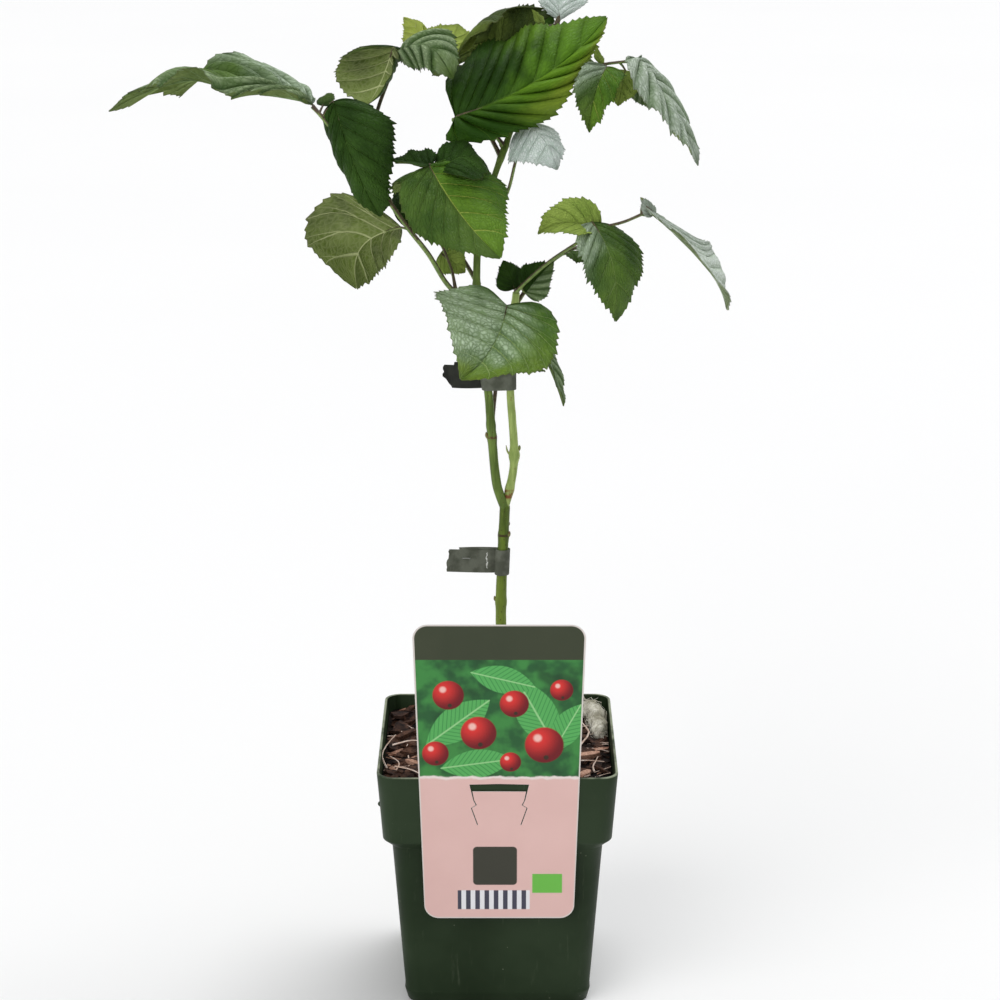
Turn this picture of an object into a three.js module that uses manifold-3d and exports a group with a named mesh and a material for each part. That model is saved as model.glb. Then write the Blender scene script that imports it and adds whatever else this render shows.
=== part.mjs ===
// Young tayberry bush with two canes in a square nursery pot. Millimetres, +Z up.
// The origin is the middle of the pot's underside, +X is to the plant's right and +Y to its back.
import * as THREE from 'three';
import { mergeVertices } from 'three/addons/utils/BufferGeometryUtils.js';
import Module from 'manifold-3d';

const wasm = await Module();
wasm.setup();

// Clear gap between two pieces that touch on the real plant.
const GAP = 0.3;

// Square pot: half widths and heights from the underside.
const POT = {
  height: 140,
  rimHalf: 65,
  collarFoot: 101,
  collarFootHalf: 62.2,
  bodyTop: 96,
  bodyTopHalf: 57.3,
  stepTop: 7,
  stepHalf: 51.4,
  footHalf: 50,
  wall: 1.4,
  base: 1.6,
  corner: 9,
  cornerSteps: 4,
  stepSlope: 1,
  stepInset: 0.3,
  holeRadius: 4.5,
  holeOffset: 28,
  holeSides: 16,
  pipRadius: 1.6,
  pipHeight: 118,
  pipFromCorner: 16,
  pipFacets: [8, 6],
};

// Soil: its top rings are shares of the outline, each at a height of its own.
const SOIL = { top: 131, crown: 132, discRadius: 8, dip: 0.4, ripple: 0.8, ringShares: [0.82, 0.58, 0.34], seed: 5 };

// Hang label, on a plane that leans with the collar. Heights are measured from the rim.
const LABEL = {
  middle: 1,
  top: 89.4,
  foot: -84.2,
  topHalf: 45.6,
  footHalf: 40.8,
  corner: 8,
  cornerLean: 0.2,
  cornerSteps: 5,
  thick: 0.6,
  slotTop: -3,
  slotFoot: -7.5,
  slotHalf: 13.6,
  tongueFoot: -27.5,
  tongueHalf: 12.2,
  cut: 0.5,
};

// Limbs: the path runs along the axis, and the radius tapers from foot to tip.
const LIMBS = {
  stem: {
    path: [[2, 0, 132.3], [2, 0, 166], [2, 0, 219], [3, 0, 248], [4, 0, 271.7]],
    foot: 3.1,
    tip: 2.8,
    steps: 9,
  },
  cane_left: {
    path: [[4, 0, 272], [0, -1, 284], [-3, 0, 312], [-5, 1, 337], [-10, 1, 371], [-11, 0, 402],
      [-9, -1, 428], [-3, 0, 449], [4, 5, 468], [12, 18, 487], [22, 30, 506], [32, 33, 530]],
    foot: 2.6,
    tip: 1.2,
    steps: 26,
  },
  cane_right: {
    path: [[4, 0, 272], [6, 1, 279], [9, 2, 297], [8, 2, 321], [7, 2, 336], [8, 2, 370], [10, 0, 391]],
    foot: 2.3,
    tip: 1.9,
    steps: 14,
  },
};
const STEM_FLARE = { radius: 4.2, height: 9 };
const LIMB_SIDES = 10;
const TWIG_SIDES = 5;
const TWIG_STEP = 13;
const TWIG_TAPER = 0.25;
const CURVE_SAMPLES = 200;

// Tape ties: heights of the band, and how far its loose end reaches to the left.
const TIE = { thick: 0.8, slack: 0.35, levels: 4, arcSteps: 7 };
const TIES = {
  tie_upper: { foot: 337.8, top: 352, tail: -29, tailY: 3.1, limbs: ['cane_left', 'cane_right'] },
  tie_lower: { foot: 234, top: 248.3, tail: -27.5, tailY: 2.6, limbs: ['stem'] },
};

// Leaflets: base and tip of the midrib, full width, and where the upper side faces.
// arch and sweep bow the midrib, fold and curl bend the halves, cord and broad shape the outline,
// lean widens the right half, roll turns the blade and skew slides the right margin forward.
const LEAF_FORM = { arch: 6, sweep: 0, fold: 12, curl: 20, cord: 0.06, broad: 0.34, lean: 0, roll: 0, skew: 0 };
const LEAF = {
  stations: [4, 7],
  stationLength: 7,
  stationPower: 1.35,
  columns: [-1, -0.5, 0, 0.5, 1],
  outPower: 0.72,
  fullPower: 0.9,
  heartPowers: [5, 40],
  flatEdge: 0.15,
  thin: 0.8,
  thickShare: 1 / 90,
  stalkRadius: 0.55,
  stalkReach: 0.14,
  stalkSides: 4,
  stalkSink: 2.5,
};

// The sprays that face the front, each with its stalks (path and radius) and leaflets.
const SPRAYS = {
  foliage_front: {
    twigs: [{ path: [[8, 0, 363], [6, -14, 377], [5, -26, 389]], radius: 1.3 }],
    leaves: [
      { base: [5, -26, 390], tip: [-19, -76, 362], wide: 74, face: [0.3, -0.6, 0.8],
        arch: -2, sweep: -5, fold: 40, curl: 15, cord: 0.17, broad: 0.44, lean: 0.08 },
      { base: [22, -16, 366], tip: [35, -25, 335], wide: 30, face: [0.9, -0.1, 0.4],
        arch: 1, fold: 20, curl: 10, cord: 0.03, from: [7, -8, 371] },
    ],
  },
  foliage_centre: {
    twigs: [{ path: [[-8, -1, 435], [-17, -12, 445], [-24, -26, 455], [-32, -37, 466]], radius: 1.2 }],
    leaves: [
      { base: [-35, -38, 466], tip: [2, -58, 421], wide: 66, face: [0.4, -0.7, 0.6],
        arch: -2, sweep: 2, fold: 14, curl: 26, cord: 0.09, broad: 0.37, lean: -0.2 },
      { base: [-33, -36, 465], tip: [-55, -16, 464.5], wide: 21, face: [0.2, 0.3, 0.9],
        arch: 1, sweep: -2, fold: 30, curl: 6, cord: 0.1, broad: 0.3 },
      { base: [-30, -36, 463], tip: [-4, -20, 459], wide: 27, face: [0.4, -0.4, 0.8],
        arch: 7, sweep: -3, fold: 4, curl: 4, cord: 0.09, broad: 0.45, lean: 0.14 },
    ],
  },
  foliage_left: {
    twigs: [
      { path: [[-10, 1, 377], [-18, -7, 388], [-27, -12, 399], [-36, -16, 415], [-46, -20, 429],
        [-63, -24, 454], [-81, -24, 477], [-91, -22, 489], [-95, -20, 493]], radius: 1.4 },
      { path: [[-63, -24, 454], [-66, -8, 474], [-62, 0, 490], [-57, 6, 503], [-52, 10, 516],
        [-43, 16, 515], [-35, 19, 517], [-26, 24, 514]], radius: 1.1 },
      { path: [[-22, -9, 394], [-24, -6, 404], [-29, -4, 417]], radius: 0.9 },
    ],
    leaves: [
      { base: [-24, 0, 403], tip: [-13, 2, 407], wide: 13, face: [0, -0.9, 0.4], arch: 4, fold: 15,
        from: [-24, -6, 404] },
      { base: [-50, -20, 430], tip: [-73, -29, 399], wide: 49, face: [-0.1, 1, -0.2],
        arch: 24, sweep: -10, fold: 14, curl: 6, cord: 0.02, broad: 0.48, lean: -0.3 },
      { base: [-46, -16, 428], tip: [-27, -4, 447], wide: 40, face: [0, -0.5, 0.9] },
      { base: [-84, -22, 496], tip: [-61, -17, 435], wide: 46, face: [-0.2, -1, 0.2],
        arch: 14, sweep: -1, roll: -18, fold: 20, curl: 65, cord: 0.03, broad: 0.33, lean: -0.1 },
      { base: [-90, -18, 493], tip: [-86, -6, 498], wide: 9, face: [-0.2, -0.7, 0.7], arch: 1 },
      { base: [-95, -20, 494], tip: [-198, -38, 493], wide: 46, face: [0, 0, 1],
        arch: 14, sweep: 7, roll: -24, fold: -8, curl: -8, cord: 0.07, broad: 0.41, lean: 0.2, skew: -0.18 },
      { base: [-54, 10, 520], tip: [-67, -13, 493], wide: 56, face: [0.6, 0.5, -0.6],
        arch: 5, sweep: -4, fold: -10, curl: 26, cord: 0, broad: 0.45, lean: 0.05 },
      { base: [-51, 10, 517], tip: [-23, -14, 506], wide: 32, face: [-0.3, -0.6, 0.7],
        arch: 9, sweep: -6, fold: -8, curl: 23, cord: 0.08, broad: 0.45, lean: -0.16 },
      { base: [-36, 18, 518], tip: [-49, 12, 535], wide: 19, face: [0.3, 0.8, 0.5],
        arch: 3, fold: 0, curl: 25, cord: 0 },
      { base: [-27, 31, 512.5], tip: [-23, 49, 528.5], wide: 20, face: [0, 0.7, -0.7],
        arch: 0, fold: 16, curl: 30, cord: 0.05, lean: 0.3 },
    ],
  },
  foliage_small: {
    twigs: [{ path: [[-9, -1, 427], [4, -4, 443], [9, -5, 460], [13, -3, 480]], radius: 1 }],
    leaves: [
      { base: [14, -2, 481], tip: [31, -20, 460], wide: 34, face: [0.2, -0.7, 0.7],
        arch: 4, sweep: -2, fold: 0, curl: 24, cord: 0.03, broad: 0.38, lean: 0.25 },
    ],
  },
  foliage_top_front: {
    twigs: [{ path: [[4, 5, 468], [-5, 4, 479], [-15, -6, 485], [-23, -13, 485]], radius: 1.2 }],
    leaves: [
      { base: [-28, -14, 484], tip: [58, 26, 534], wide: 68, face: [0.1, -0.8, 0.6],
        arch: 8, sweep: 11, fold: 0, curl: 26, cord: 0.05, broad: 0.3, lean: -0.3, skew: -0.3 },
    ],
  },
  foliage_top_back: {
    twigs: [{ path: [[12, 18, 487], [-4, 28, 499], [-21, 32, 507]], radius: 1.1 }],
    leaves: [
      { base: [-23, 32, 507], tip: [25, 36, 537], wide: 50, face: [-0.4, 0.4, 0.8],
        arch: 13, sweep: -5, fold: -8, curl: 16, cord: 0, broad: 0.48, lean: 0.24 },
    ],
  },
  foliage_tip: {
    twigs: [{ path: [[31.6, 32.8, 529], [32.4, 34.4, 533]], radius: 1.1 }],
    leaves: [
      { base: [33, 33, 531], tip: [37, 58, 548], wide: 26, face: [0, -0.6, 0.8],
        arch: 4, sweep: -2, fold: 13, curl: 16, cord: 0, broad: 0.45, lean: 0.2 },
    ],
  },
  foliage_top_right: {
    twigs: [{ path: [[21, 29, 504], [36, 26, 503], [48, 16, 508], [56, 9, 511], [70, 7, 513]], radius: 1 }],
    leaves: [
      { base: [57, 6, 510], tip: [48, -4, 477], wide: 25, face: [-0.2, -0.9, 0.3],
        arch: 10, fold: 20, curl: 9, cord: 0.06, broad: 0.3 },
      { base: [54, 5, 512], tip: [52, 2, 521], wide: 7, face: [-0.6, -0.6, 0.3], arch: 1 },
      { base: [68, 8, 506], tip: [65, 2, 493], wide: 14, face: [0, -0.9, 0.4], arch: 2 },
      { base: [72, 6, 514], tip: [105, -7, 460], wide: 40, face: [0.8, -0.4, 0.5],
        arch: 4, sweep: 2, fold: 22, curl: 38, cord: 0.19, broad: 0.48, lean: -0.15 },
      { base: [72, 8, 499], tip: [79, 8, 490], wide: 12, face: [0.2, -0.8, 0.5], arch: 2,
        from: [71, 8, 511] },
    ],
  },
  foliage_right: {
    twigs: [{ path: [[10, 0, 391.6], [16, -6, 399], [27, -12, 410], [42, -20, 422], [53, -24, 430],
      [66, -25, 434], [77, -26, 439]], radius: 1.3 }],
    leaves: [
      { base: [53, -24, 428], tip: [21, -23, 427], wide: 27, face: [-0.1, -0.8, 0.6],
        arch: 7, sweep: 3, fold: 30, curl: -8, cord: 0, broad: 0.39 },
      { base: [49, -26, 434], tip: [61, -45, 385], wide: 42, face: [0.4, -0.8, 0.4],
        arch: 13, sweep: 1, fold: -8, curl: 15, cord: 0.12, broad: 0.4, lean: -0.25 },
      { base: [75, -26, 443], tip: [121, -12, 385], wide: 42, face: [0.7, -0.1, 0.7],
        arch: 9, sweep: 20, fold: 2, curl: -8, cord: 0.01, broad: 0.56, lean: -0.2, skew: -0.3 },
      { base: [15, -2, 391], tip: [27, -4, 408], wide: 14, face: [-0.1, -0.8, 0.5], arch: 2, fold: 10,
        from: [14, -4, 396] },
      { base: [9, 5, 392], tip: [5, 8, 405], wide: 14, face: [0.1, -0.8, 0.5], arch: 2, fold: 10,
        from: [11, -1, 393] },
    ],
  },
};

// The sprays at the back: a stalk that rises and levels off, an end leaflet and one side pair.
// azimuth is the stalk's heading from +Y towards +X, in degrees. sides says which of the pair grow.
const BACK_SPRAYS = {
  foliage_back_low: { root: [-3, 0, 318], azimuth: 8, reach: 48, rise: 32, size: 52, droop: 24, seed: 11,
    pair: 0.6, spread: 56, lateral: 0.52, sides: [-1, 1] },
  foliage_back_left: { root: [-10, 1, 395], azimuth: -64, reach: 52, rise: 41, size: 48, droop: 34, seed: 23,
    pair: 0.6, spread: 44, lateral: 0.58, sides: [-1, 1] },
  foliage_back_mid: { root: [-6, 0, 440], azimuth: -30, reach: 46, rise: 8, size: 50, droop: 26, seed: 37,
    pair: 0.6, spread: 52, lateral: 0.6, sides: [-1, 1] },
  foliage_back_right: { root: [9, 1, 383], azimuth: 55, reach: 46, rise: 28, size: 42, droop: 26, seed: 41,
    pair: 0.72, spread: 60, lateral: 0.7, sides: [1] },
  foliage_back_top: { root: [13, 19, 489], azimuth: 20, reach: 42, rise: 26, size: 58, droop: 26, seed: 59,
    pair: 0.6, spread: 60, lateral: 0.58, sides: [-1, 1] },
  foliage_back_upper: { root: [2, 3, 463], azimuth: -44, reach: 74, rise: 49, size: 50, droop: 20, seed: 67,
    pair: 0.6, spread: 60, lateral: 0.66, sides: [1] },
};
const BACK_STALK = { radius: 1.2, points: 6, petiolule: 3, room: 4 };

// Ranges that a back leaflet's form is drawn from. Lengths are shares of its own length.
const BACK_FORM = {
  tilt: [-0.25, 0.25],
  wide: [0.7, 0.8],
  arch: [0.06, 0.14],
  sweep: [-0.05, 0.05],
  fold: [8, 22],
  curl: [16, 34],
  cord: [0.03, 0.1],
  broad: [0.36, 0.44],
  lean: [-0.08, 0.08],
};
const BACK_DRAWS = { endTurn: [-8, 8], sideTurn: [-6, 6], sideLong: [0.92, 1.08], sideDroop: [0.5, 0.9] };

const FINISHES = {
  pot: { color: 0x26322a, roughness: 0.55 },
  soil: { color: 0x3a2a1d, roughness: 0.95 },
  label: { color: 0xd8b4b2, roughness: 0.4 },
  stem: { color: 0x6f8a4a, roughness: 0.6 },
  cane: { color: 0x7d9a52, roughness: 0.6 },
  tie: { color: 0x555a50, roughness: 0.8 },
  foliage: { color: 0x4f7a35, roughness: 0.55 },
};

const vec = (values) => new THREE.Vector3(...values);

// Park and Miller's generator: every call gives the next value between low and high.
function seeded(seed) {
  const MULTIPLIER = 16807;
  const MODULUS = 2147483647;
  let state = seed;
  return (low, high) => {
    state = (state * MULTIPLIER) % MODULUS;
    return low + ((high - low) * state) / MODULUS;
  };
}

// Turns a closed three.js geometry into a solid.
function solidOf(geometry) {
  const bare = geometry.clone();
  bare.deleteAttribute('normal');
  bare.deleteAttribute('uv');
  const merged = mergeVertices(bare);
  return new wasm.Manifold(new wasm.Mesh({
    numProp: 3,
    vertProperties: new Float32Array(merged.attributes.position.array),
    triVerts: new Uint32Array(merged.index.array),
  }));
}

// Signed volume of a closed triangle list, positive where the faces point out.
function signedVolume(points, faces) {
  const cross = new THREE.Vector3();
  return faces.reduce((sum, [a, b, c]) => sum + points[a].dot(cross.crossVectors(points[b], points[c])) / 6, 0);
}

// Closed skin through rings of points, with a fan to a point at each end.
function skin(rings, first = middle(rings[0]), last = middle(rings[rings.length - 1])) {
  const count = rings[0].length;
  const points = [first, ...rings.flat(), last];
  const end = points.length - 1;
  const faces = [];
  for (let k = 0; k < count; k += 1) {
    const next = (k + 1) % count;
    faces.push([0, 1 + next, 1 + k]);
    for (let ring = 0; ring < rings.length - 1; ring += 1) {
      const a = 1 + ring * count + k;
      const b = 1 + ring * count + next;
      faces.push([a, b, b + count], [a, b + count, a + count]);
    }
    faces.push([end, end - count + k, end - count + next]);
  }
  const outward = signedVolume(points, faces) > 0 ? faces : faces.map(([a, b, c]) => [a, c, b]);
  const geometry = new THREE.BufferGeometry().setFromPoints(points);
  geometry.setIndex(outward.flat());
  return solidOf(geometry);
}

function middle(points) {
  const sum = points.reduce((total, point) => total.add(point), new THREE.Vector3());
  return sum.divideScalar(points.length);
}

function curveThrough(path) {
  return new THREE.CatmullRomCurve3(path.map(vec), false, 'centripetal');
}

// Tapering round limb along a smooth path. radiusAt gives the radius at a share of the length.
function limb(path, radiusAt, steps, sides) {
  const curve = curveThrough(path);
  const frames = curve.computeFrenetFrames(steps);
  const rings = [];
  for (let i = 0; i <= steps; i += 1) {
    const share = i / steps;
    const centre = curve.getPointAt(share);
    const radius = radiusAt(share);
    rings.push(Array.from({ length: sides }, (_, k) => {
      const turn = (2 * Math.PI * k) / sides;
      return centre.clone()
        .addScaledVector(frames.normals[i], radius * Math.cos(turn))
        .addScaledVector(frames.binormals[i], radius * Math.sin(turn));
    }));
  }
  return skin(rings);
}

// Radius of a named limb at a share of its length, with the stem's flare at the soil.
function limbRadius(name, share, extra = 0) {
  const { foot, tip, path } = LIMBS[name];
  const height = share * (path[path.length - 1][2] - path[0][2]);
  const flare = name === 'stem' ? (STEM_FLARE.radius - foot) * Math.max(0, 1 - height / STEM_FLARE.height) ** 2 : 0;
  return foot + (tip - foot) * share + flare + extra;
}

function namedLimb(name, extra = 0) {
  const { path, steps } = LIMBS[name];
  return limb(path, (share) => limbRadius(name, share, extra), steps, LIMB_SIDES);
}

// Where a limb's axis passes a height, with its radius there.
function limbAt(name, height) {
  const curve = curveThrough(LIMBS[name].path);
  let best = { miss: Infinity };
  for (let i = 0; i <= CURVE_SAMPLES; i += 1) {
    const share = i / CURVE_SAMPLES;
    const centre = curve.getPointAt(share);
    const miss = Math.abs(centre.z - height);
    if (miss < best.miss) best = { miss, centre, radius: limbRadius(name, share) };
  }
  return best;
}

// A leaflet's blade. Its point (u, v) lies on the vein that leaves the midrib at u, at v of the half width.
class Leaflet {
  constructor(form) {
    Object.assign(this, LEAF_FORM, form);
    this.start = vec(this.base);
    const chord = vec(this.tip).sub(this.start);
    this.long = chord.length();
    this.chord = chord.normalize();
    const up = vec(this.face).normalize();
    this.up = up.addScaledVector(this.chord, -up.dot(this.chord)).normalize();
    this.right = new THREE.Vector3().crossVectors(this.chord, this.up);
    this.thick = Math.max(LEAF.thin, this.long * LEAF.thickShare);
    this.stations = THREE.MathUtils.clamp(Math.round(this.long / LEAF.stationLength), ...LEAF.stations);
  }

  // Point and directions of the midrib at a share of its length.
  midrib(u) {
    const bow = 4 * u * (1 - u);
    const slope = 4 * (1 - 2 * u);
    const point = this.start.clone()
      .addScaledVector(this.chord, this.long * u)
      .addScaledVector(this.up, this.arch * bow)
      .addScaledVector(this.right, this.sweep * bow);
    const along = this.chord.clone().multiplyScalar(this.long)
      .addScaledVector(this.up, this.arch * slope)
      .addScaledVector(this.right, this.sweep * slope)
      .normalize();
    const side = this.right.clone().addScaledVector(along, -this.right.dot(along)).normalize();
    const normal = new THREE.Vector3().crossVectors(side, along);
    const roll = THREE.MathUtils.degToRad(this.roll);
    return {
      point,
      side: side.clone().multiplyScalar(Math.cos(roll)).addScaledVector(normal, Math.sin(roll)),
      normal: normal.multiplyScalar(Math.cos(roll)).addScaledVector(side, -Math.sin(roll)),
    };
  }

  // Point of the blade and the direction across its thickness.
  at(u, v) {
    const hand = v >= 0 ? 1 : -1;
    const share = Math.abs(v);
    const [near, nearest] = LEAF.heartPowers;
    const out = u ** LEAF.outPower;
    const marginAlong = out - this.cord * ((1 - u) ** near - (1 - u) ** nearest);
    const bulge = Math.log(0.5) / Math.log(this.broad);
    const marginOut = Math.max(0, Math.sin(Math.PI * out ** bulge)) ** LEAF.fullPower;
    const radius = (marginOut * this.wide * share * (1 + hand * this.lean)) / 2;
    const along = u + (marginAlong - u) * share + (this.skew * hand * radius) / this.long;
    const { point, side, normal } = this.midrib(along);
    const angle = THREE.MathUtils.degToRad(this.fold - this.curl * share * Math.min(1, marginOut + LEAF.flatEdge));
    return {
      point: point.addScaledVector(side, hand * radius * Math.cos(angle)).addScaledVector(normal, radius * Math.sin(angle)),
      across: normal.clone().multiplyScalar(Math.cos(angle)).addScaledVector(side, -hand * Math.sin(angle)),
    };
  }

  solid() {
    const rings = [];
    for (let i = 1; i < this.stations; i += 1) {
      const spots = LEAF.columns.map((v) => this.at((i / this.stations) ** LEAF.stationPower, v));
      const face = (offset) => spots.map(({ point, across }) => point.clone().addScaledVector(across, offset));
      rings.push([...face(this.thick / 2), ...face(-this.thick / 2).reverse()]);
    }
    return skin(rings, this.midrib(0).point, this.midrib(1).point);
  }

  // Short stalk from a point inside the twig to just past the base, and its run inside the blade.
  stalk(from) {
    const past = this.start.clone().sub(from).setLength(2 * LEAF.stalkRadius).add(this.start);
    const runs = [[from, past], [this.start, this.midrib(LEAF.stalkReach).point]];
    return runs.map((run) => limb(run.map((point) => point.toArray()), () => LEAF.stalkRadius, 1, LEAF.stalkSides));
  }

  // Points spread over the blade, for finding out how near another piece is.
  cloud() {
    const ROWS = 8;
    return Array.from({ length: ROWS + 1 }, (_, i) => LEAF.columns.map((v) => this.at(i / ROWS, v).point)).flat();
  }
}

// Twig along a path that tapers towards its tip.
function twig({ path, radius }) {
  const steps = Math.max(2, Math.round(curveThrough(path).getLength() / TWIG_STEP));
  return limb(path, (share) => radius * (1 - share * TWIG_TAPER), steps, TWIG_SIDES);
}

// Where a leaflet's stalk leaves the twigs: just before the spot that is nearest to the target.
function rootOnTwigs(twigs, target) {
  const SAMPLES = 60;
  let best = { miss: Infinity };
  for (const { path } of twigs) {
    const curve = curveThrough(path);
    for (let i = 0; i <= SAMPLES; i += 1) {
      const miss = curve.getPointAt(i / SAMPLES).distanceTo(target);
      if (miss < best.miss) best = { miss, curve, share: i / SAMPLES };
    }
  }
  return best.curve.getPointAt(Math.max(0, best.share - LEAF.stalkSink / best.curve.getLength()));
}

// Stalk and leaflets of one back spray, from its named sizes and seed.
function backSpray(spec) {
  const draw = seeded(spec.seed);
  const azimuth = THREE.MathUtils.degToRad(spec.azimuth);
  const heading = new THREE.Vector3(Math.sin(azimuth), Math.cos(azimuth), 0);
  const right = new THREE.Vector3(Math.cos(azimuth), -Math.sin(azimuth), 0);
  const up = new THREE.Vector3(0, 0, 1);
  const onStalk = (u) => vec(spec.root)
    .addScaledVector(heading, spec.reach * u)
    .addScaledVector(up, spec.rise * (1 - (1 - u) ** 2));
  const leaflet = (base, turn, long, hang) => {
    const angle = THREE.MathUtils.degToRad(turn);
    const dip = THREE.MathUtils.degToRad(hang);
    const out = heading.clone().multiplyScalar(Math.cos(angle)).addScaledVector(right, Math.sin(angle));
    const tip = base.clone().addScaledVector(out, long * Math.cos(dip)).addScaledVector(up, -long * Math.sin(dip));
    const face = up.clone().multiplyScalar(Math.cos(dip)).addScaledVector(out, Math.sin(dip));
    face.add(new THREE.Vector3().crossVectors(out, up).multiplyScalar(draw(...BACK_FORM.tilt)));
    return {
      base: base.toArray(),
      tip: tip.toArray(),
      face: face.toArray(),
      wide: long * draw(...BACK_FORM.wide),
      arch: long * draw(...BACK_FORM.arch),
      sweep: long * draw(...BACK_FORM.sweep),
      fold: draw(...BACK_FORM.fold),
      curl: draw(...BACK_FORM.curl),
      cord: draw(...BACK_FORM.cord),
      broad: draw(...BACK_FORM.broad),
      lean: draw(...BACK_FORM.lean),
    };
  };
  const leaves = [leaflet(onStalk(1), draw(...BACK_DRAWS.endTurn), spec.size, spec.droop)];
  for (const hand of spec.sides) {
    const base = onStalk(spec.pair).addScaledVector(right, hand * BACK_STALK.petiolule);
    const turn = hand * (spec.spread + draw(...BACK_DRAWS.sideTurn));
    const long = spec.size * spec.lateral * draw(...BACK_DRAWS.sideLong);
    leaves.push(leaflet(base, turn, long, spec.droop * draw(...BACK_DRAWS.sideDroop)));
  }
  const { points, radius } = BACK_STALK;
  const path = Array.from({ length: points }, (_, i) => onStalk(i / (points - 1)).toArray());
  return { twigs: [{ path, radius }], leaves };
}

// Points along the limbs' axes.
function limbCloud() {
  return Object.values(LIMBS).flatMap(({ path, steps }) => curveThrough(path).getSpacedPoints(2 * steps));
}

// Whether a leaflet stays clear of the limbs and of the leaflets of other sprays.
function hasRoom(cloud, taken) {
  return cloud.every((point) => taken.every((other) => point.distanceTo(other) > BACK_STALK.room));
}

// The largest body of a solid: loose scraps and sealed hollows go.
function largest(solid) {
  return solid.decompose().sort((a, b) => b.volume() - a.volume())[0];
}

// Fuses a spray's twigs and leaflets and cuts its seats clear of the limbs.
function spraySolid({ twigs, leaves }, clearOf) {
  const pieces = twigs.map(twig);
  for (const form of leaves) {
    const leaflet = new Leaflet(form);
    const from = rootOnTwigs(twigs, form.from ? vec(form.from) : leaflet.start);
    pieces.push(...leaflet.stalk(from), leaflet.solid());
  }
  return largest(wasm.Manifold.union(pieces).subtract(clearOf));
}

// Square ring of points with round corners, half the side across.
function squareRing(half, corner, height) {
  const reach = half - corner;
  const ring = [];
  for (let quarter = 0; quarter < 4; quarter += 1) {
    for (let step = 0; step <= POT.cornerSteps; step += 1) {
      const angle = (Math.PI / 2) * (quarter + step / POT.cornerSteps);
      const turn = (Math.PI / 2) * quarter + Math.PI / 4;
      ring.push(new THREE.Vector3(
        reach * Math.sign(Math.cos(turn)) + corner * Math.cos(angle),
        reach * Math.sign(Math.sin(turn)) + corner * Math.sin(angle),
        height,
      ));
    }
  }
  return ring;
}

// Half width of the pot's outside at a height.
const POT_OUTSIDE = [
  [0, POT.footHalf],
  [POT.stepTop, POT.stepHalf],
  [POT.stepTop + POT.stepSlope, POT.stepHalf - POT.stepInset],
  [POT.bodyTop, POT.bodyTopHalf],
  [POT.collarFoot, POT.collarFootHalf],
  [POT.height, POT.rimHalf],
];

// Half width of the pot's inside at a height, a wall in from the outside.
const POT_INSIDE = [
  [POT.base, POT.footHalf - POT.wall],
  [POT.bodyTop + POT.wall, POT.bodyTopHalf - POT.wall],
  [POT.collarFoot + POT.wall, POT.collarFootHalf - POT.wall],
  [POT.height, POT.rimHalf - POT.wall],
];

function halfAt(profile, height) {
  const next = Math.max(1, profile.findIndex(([level]) => level >= height));
  const [lowLevel, lowHalf] = profile[next - 1];
  const [highLevel, highHalf] = profile[next];
  return lowHalf + ((highHalf - lowHalf) * (height - lowLevel)) / (highLevel - lowLevel);
}

function potSolid() {
  const ringOf = (inset) => ([height, half]) => squareRing(half, POT.corner - inset, height);
  const outside = skin(POT_OUTSIDE.map(ringOf(0)));
  const OVERSHOOT = 5;
  const [, rimInside] = POT_INSIDE[POT_INSIDE.length - 1];
  const inside = skin([...POT_INSIDE, [POT.height + OVERSHOOT, rimInside]].map(ringOf(POT.wall)));
  let pot = outside.subtract(inside);
  for (const [x, y] of [[-1, -1], [-1, 1], [1, -1], [1, 1]]) {
    const drill = new THREE.CylinderGeometry(POT.holeRadius, POT.holeRadius, 4 * POT.base, POT.holeSides);
    drill.rotateX(Math.PI / 2);
    drill.translate(x * POT.holeOffset, y * POT.holeOffset, 0);
    pot = pot.subtract(solidOf(drill));
  }
  const half = halfAt(POT_OUTSIDE, POT.pipHeight);
  const pip = new THREE.SphereGeometry(POT.pipRadius, ...POT.pipFacets);
  pip.translate(-half, -half + POT.pipFromCorner, POT.pipHeight);
  return pot.add(solidOf(pip));
}

// Soil that fills the pot to below the rim, uneven on top, with a flat disc where the stem stands.
function soilSolid() {
  const draw = seeded(SOIL.seed);
  const inset = POT.wall + GAP;
  const rings = POT_INSIDE.slice(0, -1).map(([height, half], index) => (
    squareRing(half - GAP, POT.corner - inset, height + (index === 0 ? GAP : 0))));
  const edge = halfAt(POT_INSIDE, SOIL.top) - GAP;
  rings.push(squareRing(edge, POT.corner - inset, SOIL.top));
  const outline = rings[rings.length - 1];
  for (const share of SOIL.ringShares) {
    rings.push(outline.map((point) => new THREE.Vector3(
      point.x * share,
      point.y * share,
      SOIL.crown - SOIL.dip + draw(-SOIL.ripple, SOIL.ripple),
    )));
  }
  const [foot] = LIMBS.stem.path;
  rings.push(outline.map((point) => {
    const flat = new THREE.Vector3(point.x, point.y, 0).setLength(SOIL.discRadius);
    return new THREE.Vector3(foot[0] + flat.x, foot[1] + flat.y, SOIL.crown);
  }));
  return skin(rings);
}

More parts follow.
